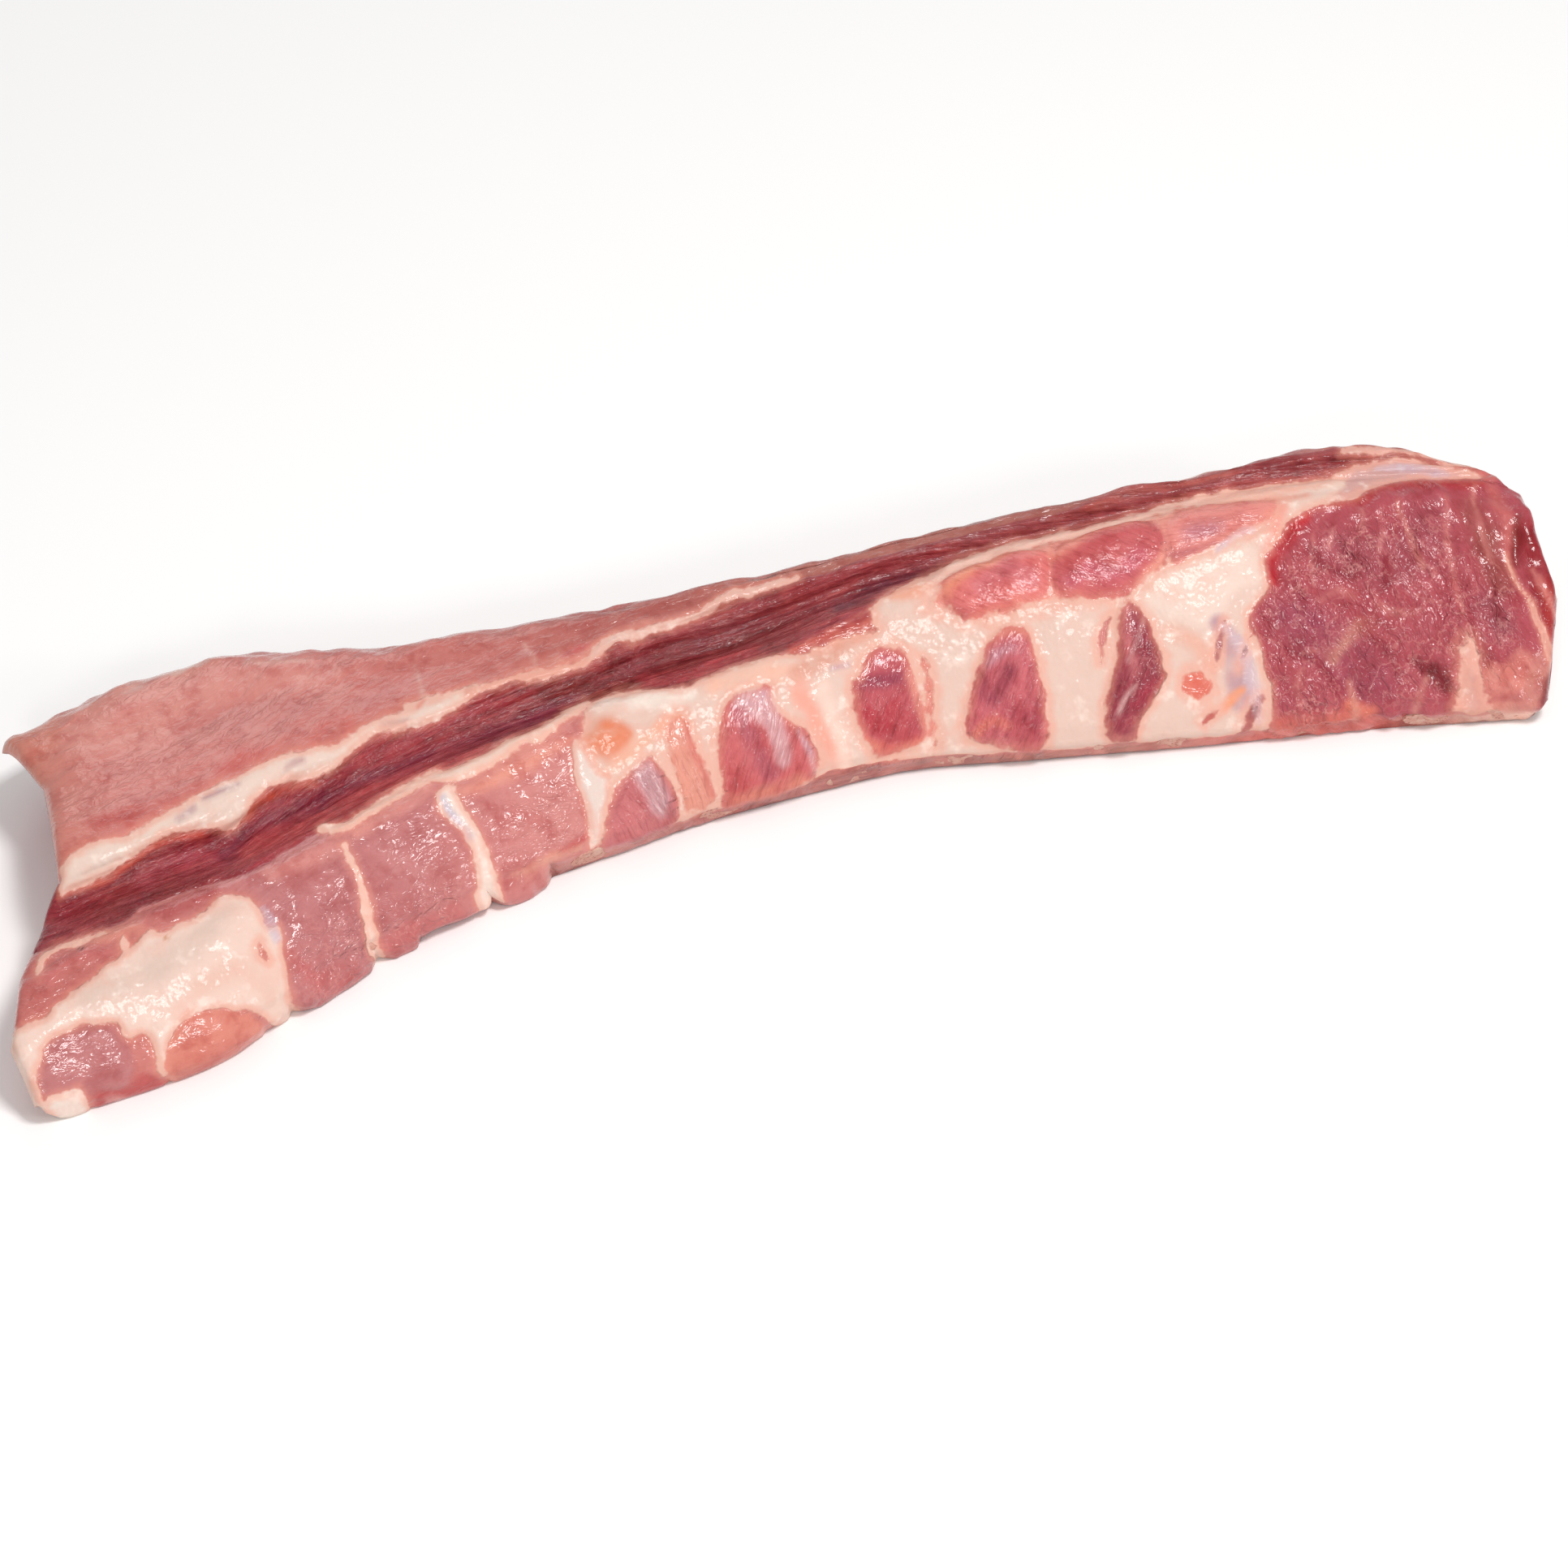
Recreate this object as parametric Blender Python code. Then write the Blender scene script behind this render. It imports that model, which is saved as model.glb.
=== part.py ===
"""Rack of raw pork back ribs, lying on its flat underside.

The rack is one long bent bar of meat. Its near side (-Y) is the inside of the rib cage, with the
ribs as pale strips between bulges of muscle. A ridge, a groove and the flat flap of the back
muscle follow one another over the top, and the far side falls to the table. The ribs were sawn
through along the lower front edge, where their oval ends show.

Lengths are in millimetres until a point goes into a mesh. A place on the skin is given by
"along", measured on the lower lip from the left end, and by a section across the bar, in which
"depth" runs away from the lip over the table and "height" runs up.
"""
import math

import bmesh
import bpy
import numpy as np

MM = 0.001

# Places of the eleven sections along the lip
SECTION_STEP = 48.0
# The lip seen from above (x, y), one point for each section
LIP_PLAN = ((-239, -46), (-193, -40), (-149, -19), (-104, -3), (-57, 7), (-10, 13.5),
            (38, 15), (85, 6), (132, -4.5), (178, -13.5), (225, -25))
# What centres the finished rack on the origin
PLAN_SHIFT = (5.12, 33.56)
# How far each section leans towards +X from straight back: (along, degrees)
SECTION_LEAN = ((0, 4), (150, 4), (300, 20), (490, 23))
# Lines that run the length of the rack, as (depth, height) at each section
RIDGE = ((36, 26), (45, 29), (33, 30), (32, 31), (37, 32), (32, 34),
         (42, 41), (50, 47.5), (58, 51), (60, 53), (55, 51))
GROOVE = ((61, 23), (60, 26), (50, 27), (46, 27.5), (45, 29), (49, 31),
          (50, 39.5), (58, 46.5), (65, 49.5), (66, 52.5), (60, 51.5))
SEAM = ((66, 28), (67, 32), (57, 33), (54, 33.5), (51, 35), (56, 37.5),
        (54, 45), (59, 49.5), (67, 52), (70, 55), (63, 52.5))
CREST = ((136, 26), (137, 34.5), (118, 36.5), (89, 37.5), (73, 39), (64, 40.5),
         (59, 46.5), (63, 51), (71, 53.5), (75, 56.5), (67, 50.5))

LIP_HEIGHT = 8.0          # top of the sawn strip
SAW_UNDERCUT = 3.0        # how far the strip's foot lies behind the lip
CHEEK_PLACE = 0.48        # where the near side bulges, as a share of the way from lip to ridge
CHEEK_CROWN = (4.0, 6.0)  # how far the near side bulges, left end and right end
FLAP_PLACE = 0.6          # where the flap stands highest, as a share of the way from seam to crest
FLAP_CROWN = 0.03         # how far the flap is crowned there, as a share of its width
BROW = (6.0, 6.0)         # back and down from the crest, where the far side begins
BACK_SWELL = 14.0         # how far the far side bulges behind the crest
BACK_LEVEL = 0.5          # height of that bulge, as a share of the crest's height
HEEL_REACH = 9.0          # how far the underside goes behind the crest

# Where the left end starts and the right end stops, along the lip, at each line
LEFT_END = {"foot": 2, "lip": -4, "cheek": -8, "ridge": -1, "groove": 12, "seam": 18,
            "flap": 21, "crest": 12, "brow": 15, "back": 28, "heel": 46}
RIGHT_END = {"foot": 494, "lip": 497, "cheek": 499, "ridge": 488, "groove": 482, "seam": 479,
             "flap": 478, "crest": 477, "brow": 477, "back": 480, "heel": 482}
# How each end rounds over: (distance from the end, how far the section has drawn in)
END_ROUNDING = ((0.0, 3.0), (1.0, 1.2), (3.5, 0.2))

# Rows of faces between one line and the next, and along the rack
ROWS = (("foot", "lip", 2), ("lip", "cheek", 6), ("cheek", "ridge", 5), ("ridge", "groove", 3),
        ("groove", "seam", 2), ("seam", "flap", 4), ("flap", "crest", 3), ("crest", "brow", 2),
        ("brow", "back", 3), ("back", "heel", 3), ("heel", "foot", 5))
COLUMNS = 94
END_POINTS = 12           # points of the line at mid height that closes each end

# Ribs: (along at the sawn end, along at the ridge, whether the front shows on the near side)
RIBS = ((77, 79, True), (114, 112, True), (152, 150, True), (190, 189, True), (234, 231, True),
        (276, 268, True), (311, 303, True), (350, 341, True), (380, 376, True),
        (417, 412, False), (459, 454, False), (482, 475, False))
RIB_WIDTH = 14.0
RIB_THICKNESS = 6.4
RIB_PROUD = 0.9           # how far a rib that shows stands out of the meat
RIB_COVER = 5.0           # meat over a rib that doesn't show
RIB_SAWN_HEIGHT = 4.6     # middle of the sawn end above the table
RIB_SAWN_PROUD = 0.4      # sawn ends stand out as the cut meat draws back
# A rib's course up the near side: (share of the way to the ridge, how proud it may stand there)
RIB_COURSE = ((0.16, 0.3), (0.3, RIB_PROUD), (0.5, RIB_PROUD), (0.68, RIB_PROUD), (0.84, -1.5))
RIB_TURN = (0.35, -0.45)  # how its course turns inwards at the ridge: added depth and height
RIB_INNER_END = (8.4, 5.6)  # lengths of its last two pieces, inside the meat
RIB_TIP_SIZE = 0.55       # its inner tip, as a share of its width
RIB_SIDES = 12
RIB_GAP = 0.3             # clearance between a rib and its channel
CUTTER_REACH = 3.0        # how far a channel's cutter stands clear of the sawn strip
NEAR_SAMPLES = 40         # places measured on each stretch of the near side
MUSCLE_SWELL = 2.6        # how far the muscle bulges between two ribs
SWELL_RUN = 0.8           # how far it takes to swell, as a share of a rib's width
SWELL_FADE = (0.12, 0.2)  # shares of the near side where it fades, at the lip and at the ridge
# Unevenness of the upper faces: (height, its length along the rack, its length in depth, start)
WAVES = ((0.5, 11.0, 14.3, 0.0), (0.35, 6.3, -9.0, 1.3), (0.3, 37.0, 7.0, 0.0))


def smooth_through(knots_at, values, at):
    """Cubic curve through the knots that never overshoots them."""
    knots_at = np.asarray(knots_at, float)
    values = np.asarray(values, float)
    steps = np.diff(knots_at)
    slopes = np.diff(values) / steps
    tangents = np.empty_like(values)
    tangents[0] = slopes[0]
    tangents[-1] = slopes[-1]
    both = slopes[:-1] * slopes[1:]
    total = slopes[:-1] + slopes[1:]
    safe = np.where(both > 0, total, 1.0)
    tangents[1:-1] = np.where(both > 0, 2 * both / safe, 0.0)
    at = np.asarray(at, float)
    span = np.clip(np.searchsorted(knots_at, at) - 1, 0, len(steps) - 1)
    step = steps[span]
    t = np.clip((at - knots_at[span]) / step, 0, 1)
    outside = at - np.clip(at, knots_at[0], knots_at[-1])
    end_slope = np.where(outside < 0, tangents[0], tangents[-1])
    return (values[span] * (2 * t ** 3 - 3 * t ** 2 + 1)
            + values[span + 1] * (3 * t ** 2 - 2 * t ** 3)
            + step * tangents[span] * (t ** 3 - 2 * t ** 2 + t)
            + step * tangents[span + 1] * (t ** 3 - t ** 2)
            + outside * end_slope)


def along_sections(values, along):
    """Value of one column of the section table at any place along the lip."""
    places = [SECTION_STEP * number for number in range(len(values))]
    return smooth_through(places, values, along)


def section_lines(along):
    """Depth and height of every line at one or many places along the lip."""
    lines = {}
    for name, table in (("ridge", RIDGE), ("groove", GROOVE), ("seam", SEAM), ("crest", CREST)):
        depth = along_sections([point[0] for point in table], along)
        height = along_sections([point[1] for point in table], along)
        lines[name] = (depth, height)
    flat = np.zeros_like(lines["ridge"][0])
    lines["lip"] = (flat, flat + LIP_HEIGHT)
    lines["foot"] = (flat + SAW_UNDERCUT, flat)
    rise = lines["ridge"][1] - LIP_HEIGHT
    run = lines["ridge"][0]
    length = np.hypot(rise, run)
    last = SECTION_STEP * (len(RIDGE) - 1)
    crown = np.interp(along, (0, last), CHEEK_CROWN)
    lines["cheek"] = (CHEEK_PLACE * run - crown * rise / length,
                      LIP_HEIGHT + CHEEK_PLACE * rise + crown * run / length)
    seam_depth, seam_height = lines["seam"]
    depth, height = lines["crest"]
    lines["flap"] = (seam_depth + FLAP_PLACE * (depth - seam_depth),
                     seam_height + FLAP_PLACE * (height - seam_height)
                     + FLAP_CROWN * (depth - seam_depth))
    lines["brow"] = (depth + BROW[0], height - BROW[1])
    lines["back"] = (depth + BACK_SWELL, height * BACK_LEVEL)
    lines["heel"] = (depth + HEEL_REACH, flat)
    return lines


def place(along, depth, height):
    """Turn along, depth and height into x, y, z."""
    x = along_sections([point[0] for point in LIP_PLAN], along) - PLAN_SHIFT[0]
    y = along_sections([point[1] for point in LIP_PLAN], along) - PLAN_SHIFT[1]
    lean = np.radians(np.interp(along, *zip(*SECTION_LEAN)))
    return np.stack([x + depth * np.sin(lean), y + depth * np.cos(lean),
                     height + 0 * x], axis=-1)


def rib_place(rib, up):
    """Place of a rib along the lip, where up runs from 0 at the lip to 1 at the ridge."""
    return rib[0] + (rib[1] - rib[0]) * np.asarray(up, float)


def muscle_relief(along, up):
    """Bulges of muscle between the ribs on the near side, and nothing over a rib."""
    middles = np.stack([rib_place(rib, up) for rib in RIBS if rib[2]])
    nearest = np.min(np.abs(along[None] - middles), axis=0)
    rise = np.clip((nearest - RIB_WIDTH / 2) / (SWELL_RUN * RIB_WIDTH), 0, 1)
    swell = rise * rise * (3 - 2 * rise)
    fade = np.clip(up / SWELL_FADE[0], 0, 1) * np.clip((1 - up) / SWELL_FADE[1], 0, 1)
    return MUSCLE_SWELL * swell * fade


def slow_waves(along, depth):
    """Gentle unevenness of the open faces."""
    return sum(height * np.sin(along / long_way + depth / deep_way + start)
               for height, long_way, deep_way, start in WAVES)


def smooth_chain(points, counts):
    """Points on a smooth curve through the lines, with the given rows between each two."""
    points = np.asarray(points, float)
    tangents = np.empty_like(points)
    lengths = np.linalg.norm(np.diff(points, axis=0), axis=-1)
    slopes = np.diff(points, axis=0) / lengths[..., None]
    weight = lengths[:-1] / (lengths[:-1] + lengths[1:])
    tangents[1:-1] = (1 - weight)[..., None] * slopes[:-1] + weight[..., None] * slopes[1:]
    tangents[0] = 1.5 * slopes[0] - 0.5 * tangents[1]
    tangents[-1] = 1.5 * slopes[-1] - 0.5 * tangents[-2]
    rows = []
    for number, count in enumerate(counts):
        for t in np.arange(count) / count:
            step = lengths[number][..., None]
            rows.append(points[number] * (2 * t ** 3 - 3 * t ** 2 + 1)
                        + points[number + 1] * (3 * t ** 2 - 2 * t ** 3)
                        + step * tangents[number] * (t ** 3 - 2 * t ** 2 + t)
                        + step * tangents[number + 1] * (t ** 3 - t ** 2))
    return rows


def across(row_number, table):
    """Value of a table of lines at one row of faces round the section."""
    for start, stop, count in ROWS:
        if row_number < count:
            share = row_number / count
            return table[start] + share * (table[stop] - table[start])
        row_number -= count
    return table["foot"]


def skin_grid():
    """Points of the skin, one ring for each column and one point for each row."""
    inner = np.arange(1, COLUMNS) / COLUMNS
    row_total = sum(count for _, _, count in ROWS)
    starts = np.array([across(row, LEFT_END) for row in range(row_total)])
    stops = np.array([across(row, RIGHT_END) for row in range(row_total)])
    rings = [starts + distance for distance, _ in END_ROUNDING]
    edge = END_ROUNDING[-1][0]
    rings += [starts + edge + share * (stops - starts - 2 * edge) for share in inner]
    rings += [stops - distance for distance, _ in reversed(END_ROUNDING)]
    along = np.array(rings)
    drawn_in = np.zeros(len(rings))
    drawn_in[:len(END_ROUNDING)] = [depth for _, depth in END_ROUNDING]
    drawn_in[-len(END_ROUNDING):] = [depth for _, depth in reversed(END_ROUNDING)]

    profile = np.empty(along.shape + (2,))
    for row in range(row_total):
        lines = section_lines(along[:, row])
        chain = [np.stack(lines[name], axis=-1) for name, _, _ in ROWS[1:]]
        counts = [count for _, _, count in ROWS[1:-1]]
        if row < ROWS[0][2]:
            share = row / ROWS[0][2]
            foot = np.stack(lines["foot"], axis=-1)
            profile[:, row] = foot + share * (chain[0] - foot)
        elif row < ROWS[0][2] + sum(counts):
            profile[:, row] = smooth_chain(chain, counts)[row - ROWS[0][2]]
        else:
            share = (row - ROWS[0][2] - sum(counts)) / ROWS[-1][2]
            foot = np.stack(lines["foot"], axis=-1)
            profile[:, row] = chain[-1] + share * (foot - chain[-1])

    after = np.roll(profile, -1, axis=1)
    before = np.roll(profile, 1, axis=1)
    run = after - before
    outward = np.stack([-run[..., 1], run[..., 0]], axis=-1)
    outward /= np.linalg.norm(outward, axis=-1, keepdims=True)
    relief = np.zeros(along.shape)
    first = ROWS[0][2]
    near_rows = ROWS[1][2] + ROWS[2][2]
    top_rows = sum(count for _, _, count in ROWS[3:-1])
    for row in range(first, first + near_rows):
        up = np.full(len(rings), (row - first) / near_rows)
        relief[:, row] = muscle_relief(along[:, row], up)
    for row in range(first + near_rows, first + near_rows + top_rows):
        relief[:, row] = slow_waves(along[:, row], profile[:, row, 0])
    profile += outward * (relief - drawn_in[:, None])[..., None]
    profile[..., 1] = np.maximum(profile[..., 1], 0.0)
    underside = first + near_rows + top_rows
    profile[len(END_ROUNDING):-len(END_ROUNDING), underside:, 1] = 0.0
    profile[len(END_ROUNDING):-len(END_ROUNDING), 0, 1] = 0.0
    return place(along, profile[..., 0], profile[..., 1])


def mesh_object(name, points, faces, material):
    """One object from a list of points in millimetres and a list of faces."""
    build = bmesh.new()
    corners = [build.verts.new([value * MM for value in point]) for point in points]
    for face in faces:
        build.faces.new([corners[number] for number in face])
    bmesh.ops.triangulate(build, faces=build.faces[:], ngon_method="BEAUTY")
    bmesh.ops.recalc_face_normals(build, faces=build.faces[:])
    mesh = bpy.data.meshes.new(name)
    build.to_mesh(mesh)
    build.free()
    mesh.materials.append(material)
    mesh.shade_smooth()
    mesh.set_sharp_from_angle(angle=math.radians(50))
    made = bpy.data.objects.new(name, mesh)
    bpy.context.scene.collection.objects.link(made)
    return made


def side_faces(ring_total, per_ring):
    """Side faces of a tube of rings."""
    return [[ring * per_ring + side, ring * per_ring + (side + 1) % per_ring,
             (ring + 1) * per_ring + (side + 1) % per_ring, (ring + 1) * per_ring + side]
            for ring in range(ring_total - 1) for side in range(per_ring)]


def zip_paths(first, second, points):
    """Triangles between two paths of point numbers that run the same way."""
    def shares(path):
        steps = np.linalg.norm(np.diff(points[path], axis=0), axis=1)
        return np.concatenate([[0.0], np.cumsum(steps)]) / steps.sum()
    share_a, share_b = shares(first), shares(second)
    faces = []
    a = b = 0
    while a < len(first) - 1 or b < len(second) - 1:
        step_a = b == len(second) - 1 or (a < len(first) - 1 and share_a[a + 1] <= share_b[b + 1])
        corners = [first[a], second[b], first[a + 1] if step_a else second[b + 1]]
        if len(set(corners)) == 3:
            faces.append(corners)
        a, b = (a + 1, b) if step_a else (a, b + 1)
    return faces


def close_end(points, ring):
    """Close one end of the meat: a line of points at mid height joins the top to the underside."""
    front = ROWS[0][2] // 2
    rear = len(ring) - ROWS[-1][2] - ROWS[-2][2] // 2
    upper = ring[front:rear + 1]
    lower = list(reversed(ring[rear:] + ring[:front + 1]))
    top_share = np.linspace(0, 1, len(upper))
    low_share = np.linspace(0, 1, len(lower))
    middle = [upper[0]]
    for share in np.arange(1, END_POINTS) / END_POINTS:
        above = [np.interp(share, top_share, points[upper, axis]) for axis in range(3)]
        below = [np.interp(share, low_share, points[lower, axis]) for axis in range(3)]
        points = np.vstack([points, (np.array(above) + below) / 2])
        middle.append(len(points) - 1)
    middle.append(upper[-1])
    return points, zip_paths(upper, middle, points) + zip_paths(middle, lower, points)


def near_surface(along, up):
    """Depth and height on the near side, and the outward direction there."""
    lines = section_lines(np.array([float(along)]))
    chain = [np.stack(lines[name], axis=-1) for name in ("lip", "cheek", "ridge", "groove")]
    rows = np.array(smooth_chain(chain, (NEAR_SAMPLES,) * 3))[:, 0]
    number = min(round(up * 2 * NEAR_SAMPLES), 2 * NEAR_SAMPLES)
    run = rows[number + 1] - rows[max(number - 1, 0)]
    outward = np.array([-run[1], run[0]]) / np.hypot(*run)
    return rows[number], outward


def rib_rings(rib, grow):
    """Rings of a rib from its sawn end to its inner end, grown on all sides by grow.

    A grown rib is a cutter, so it also gets a ring further out, clear of the meat.
    """
    highest = RIB_PROUD if rib[2] else -RIB_COVER
    half = RIB_THICKNESS / 2
    share = RIB_SAWN_HEIGHT / LIP_HEIGHT
    saw = np.array([-SAW_UNDERCUT, LIP_HEIGHT]) / math.hypot(SAW_UNDERCUT, LIP_HEIGHT)
    out = np.array([-saw[1], saw[0]])
    start = np.array([SAW_UNDERCUT * (1 - share), RIB_SAWN_HEIGHT]) + out * RIB_SAWN_PROUD
    path = [(rib[0], start)]
    for up, proud in RIB_COURSE:
        along = float(rib_place(rib, up))
        spot, outward = near_surface(along, up)
        path.append((along, spot - outward * (half - min(proud, highest))))
    ahead = path[-1][1] - path[-2][1]
    ahead = ahead / np.hypot(*ahead) + np.array(RIB_TURN)
    ahead /= np.hypot(*ahead)
    for length in (RIB_INNER_END[0], RIB_INNER_END[1] + grow):
        path.append((rib[1], path[-1][1] + ahead * length))
    sizes = [1.0] * (len(path) - 1) + [RIB_TIP_SIZE]
    rings = []
    for number, (along, centre) in enumerate(path):
        before = path[max(number - 1, 0)][1]
        after = path[min(number + 1, len(path) - 1)][1]
        run = (after - before) / np.hypot(*(after - before))
        up_way = np.array([-run[1], run[0]])
        if number == 0:
            up_way = saw
        for side in range(RIB_SIDES):
            turn = 2 * math.pi * side / RIB_SIDES
            wide = (RIB_WIDTH / 2 * sizes[number] + grow) * math.cos(turn)
            tall = (half * sizes[number] + grow) * math.sin(turn)
            spot = centre + up_way * tall
            if number == 0 and grow > 0:
                clear = spot + out * CUTTER_REACH
                rings.insert(side, place(np.array([along + wide]), clear[0], clear[1])[0])
            rings.append(place(np.array([along + wide]), spot[0], spot[1])[0])
    return rings


def make_rib(name, rib, grow, material):
    """One rib, or the cutter for its channel when grow is the clearance."""
    rings = rib_rings(rib, grow)
    faces = side_faces(len(rings) // RIB_SIDES, RIB_SIDES)
    faces += [list(range(RIB_SIDES)), list(range(len(rings) - RIB_SIDES, len(rings)))]
    return mesh_object(name, rings, faces, material)


def make_meat(material):
    """The whole piece of meat, before the ribs' channels are cut."""
    grid = skin_grid()
    points = grid.reshape(-1, 3)
    ring_total, per_ring = grid.shape[:2]
    faces = side_faces(ring_total, per_ring)
    for ring in (0, ring_total - 1):
        numbers = list(range(ring * per_ring, (ring + 1) * per_ring))
        points, end_faces = close_end(points, numbers)
        faces += end_faces
    return mesh_object("meat", points, faces, material)


def make_material(name, colour, roughness):
    """A plain Principled material."""
    material = bpy.data.materials.new(name)
    material.use_nodes = True
    shader = material.node_tree.nodes["Principled BSDF"]
    shader.inputs["Base Color"].default_value = (*colour, 1.0)
    shader.inputs["Roughness"].default_value = roughness
    shader.inputs["Metallic"].default_value = 0.0
    return material


def main():
    for thing in list(bpy.data.objects):
        bpy.data.objects.remove(thing, do_unlink=True)

    raw_meat = make_material("raw_pork", (0.52, 0.16, 0.15), 0.38)
    rib_bone = make_material("rib_bone", (0.80, 0.62, 0.54), 0.5)

    meat = make_meat(raw_meat)

    channels = bpy.data.collections.new("rib_channels")
    bpy.context.scene.collection.children.link(channels)
    for number, rib in enumerate(RIBS, start=1):
        make_rib(f"rib_{number:02d}", rib, 0.0, rib_bone)
        cutter = make_rib(f"channel_{number:02d}", rib, RIB_GAP, rib_bone)
        cutter.hide_render = True
        cutter.display_type = "WIRE"
        bpy.context.scene.collection.objects.unlink(cutter)
        channels.objects.link(cutter)

    cut = meat.modifiers.new("rib channels", "BOOLEAN")
    cut.operation = "DIFFERENCE"
    cut.operand_type = "COLLECTION"
    cut.collection = channels
    cut.solver = "EXACT"


main()
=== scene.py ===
# %% [markdown]
# # A rack of raw pork back ribs
#
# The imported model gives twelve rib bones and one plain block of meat. This lesson keeps the bones,
# gives them the finish of fresh bone, and puts a detailed skin of muscle, fat and membrane in the
# place of the block. All lengths are in millimetres until they go into a mesh.

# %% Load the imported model
import math

import bmesh
import bpy
import numpy as np
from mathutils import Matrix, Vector


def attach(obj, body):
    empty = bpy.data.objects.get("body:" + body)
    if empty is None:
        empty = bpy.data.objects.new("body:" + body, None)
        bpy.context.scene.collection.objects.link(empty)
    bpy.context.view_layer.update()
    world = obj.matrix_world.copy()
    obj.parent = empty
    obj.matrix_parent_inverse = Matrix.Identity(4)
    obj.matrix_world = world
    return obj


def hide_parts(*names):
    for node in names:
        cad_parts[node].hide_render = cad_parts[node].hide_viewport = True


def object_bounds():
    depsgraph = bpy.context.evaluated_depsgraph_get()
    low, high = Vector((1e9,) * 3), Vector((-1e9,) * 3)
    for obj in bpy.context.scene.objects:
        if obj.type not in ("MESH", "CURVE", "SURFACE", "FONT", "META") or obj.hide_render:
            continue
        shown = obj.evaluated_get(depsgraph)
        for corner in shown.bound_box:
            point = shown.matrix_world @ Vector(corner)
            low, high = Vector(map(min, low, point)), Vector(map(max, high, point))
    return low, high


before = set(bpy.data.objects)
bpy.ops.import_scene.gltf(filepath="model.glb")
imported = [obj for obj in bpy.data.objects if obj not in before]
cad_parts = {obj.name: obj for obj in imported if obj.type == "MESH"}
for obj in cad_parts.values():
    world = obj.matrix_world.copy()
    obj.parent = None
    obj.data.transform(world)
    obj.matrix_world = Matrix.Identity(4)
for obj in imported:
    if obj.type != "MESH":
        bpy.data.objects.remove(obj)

cad_low, cad_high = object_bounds()
MM = 0.001
print("nodes in the frame:", sorted(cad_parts))

# %% [markdown]
# ## The camera
#
# On raw meat the borders between muscle and fat follow no rule, so they are drawn over the
# photograph. For that the camera comes first: it looks down 40 degrees and stands a little to the
# left, and one function says at which pixel of the 1932 pixel wide photograph a point is seen.

# %% Camera
PHOTO_SIZE = 1932
CAMERA_AIM = (-5.12, -33.56, 22.0)
CAMERA_TURN = math.radians(20)
CAMERA_DIP = math.radians(40)
CAMERA_DISTANCE = 1600.0
LENS = 122.3
SENSOR = 36.0

camera_ahead = np.array([math.sin(CAMERA_TURN) * math.cos(CAMERA_DIP),
                         math.cos(CAMERA_TURN) * math.cos(CAMERA_DIP), -math.sin(CAMERA_DIP)])
camera_right = np.array([math.cos(CAMERA_TURN), -math.sin(CAMERA_TURN), 0.0])
camera_up = np.cross(camera_right, camera_ahead)
camera_spot = np.array(CAMERA_AIM) - camera_ahead * CAMERA_DISTANCE

camera_data = bpy.data.cameras.new("photo_camera")
camera_data.lens = LENS
camera_data.sensor_width = SENSOR
camera_data.clip_end = 20  # metres
camera = bpy.data.objects.new("photo_camera", camera_data)
bpy.context.scene.collection.objects.link(camera)
camera.location = Vector(camera_spot * MM)
camera.rotation_mode = "QUATERNION"
camera.rotation_quaternion = Vector(camera_ahead).to_track_quat("-Z", "Y")
bpy.context.scene.camera = camera


def photo_pixel(points):
    """Pixel of the photograph at which each point is seen: to the right, and down."""
    to_point = points - camera_spot
    scale = LENS / SENSOR * PHOTO_SIZE / (to_point @ camera_ahead)
    half = PHOTO_SIZE / 2
    return np.stack([half + scale * (to_point @ camera_right),
                     half - scale * (to_point @ camera_up)], axis=-1)


print("camera at", [round(value) for value in camera_spot], "mm")

# %% [markdown]
# ## The bar's form
#
# A rack of ribs is one long bent bar. Its form is given by cross-sections: lines named for what
# they are on the rack run its whole length, and a smooth curve joins them round each section. These
# are the values of the solid that the skin stands for, so that the two have the same form.

# %% Values of the bar
SECTION_STEP = 48.0
LIP_PLAN = ((-239, -46), (-193, -40), (-149, -19), (-104, -3), (-57, 7), (-10, 13.5),
            (38, 15), (85, 6), (132, -4.5), (178, -13.5), (225, -25))
PLAN_SHIFT = (5.12, 33.56)
SECTION_LEAN = ((0, 4), (150, 4), (300, 20), (490, 23))
RIDGE = ((36, 26), (45, 29), (33, 30), (32, 31), (37, 32), (32, 34),
         (42, 41), (50, 47.5), (58, 51), (60, 53), (55, 51))
GROOVE = ((61, 23), (60, 26), (50, 27), (46, 27.5), (45, 29), (49, 31),
          (50, 39.5), (58, 46.5), (65, 49.5), (66, 52.5), (60, 51.5))
SEAM = ((66, 28), (67, 32), (57, 33), (54, 33.5), (51, 35), (56, 37.5),
        (54, 45), (59, 49.5), (67, 52), (70, 55), (63, 52.5))
CREST = ((136, 26), (137, 34.5), (118, 36.5), (89, 37.5), (73, 39), (64, 40.5),
         (59, 46.5), (63, 51), (71, 53.5), (75, 56.5), (67, 50.5))
LIP_HEIGHT = 8.0           # the sawn strip's height
SAW_UNDERCUT = 3.0         # how far its foot stands back
CHEEK_PLACE = 0.48         # the cheek: halfway up from the lip to the ridge
CHEEK_CROWN = (4.0, 6.0)   # how far it swells out, at the left and at the right
FLAP_PLACE = 0.6           # the flap's highest part, as a share of the way from seam to crest
FLAP_CROWN = 0.03
BROW = (6.0, 6.0)          # how far behind and below the crest the back turns down
BACK_SWELL = 14.0          # how far the back stands out, halfway down
BACK_LEVEL = 0.5
HEEL_REACH = 9.0           # how far the underside goes behind the crest
LEFT_END = {"foot": 2, "lip": -4, "cheek": -8, "ridge": -1, "groove": 12, "seam": 18,
            "flap": 21, "crest": 12, "brow": 15, "back": 28, "heel": 46}
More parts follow.
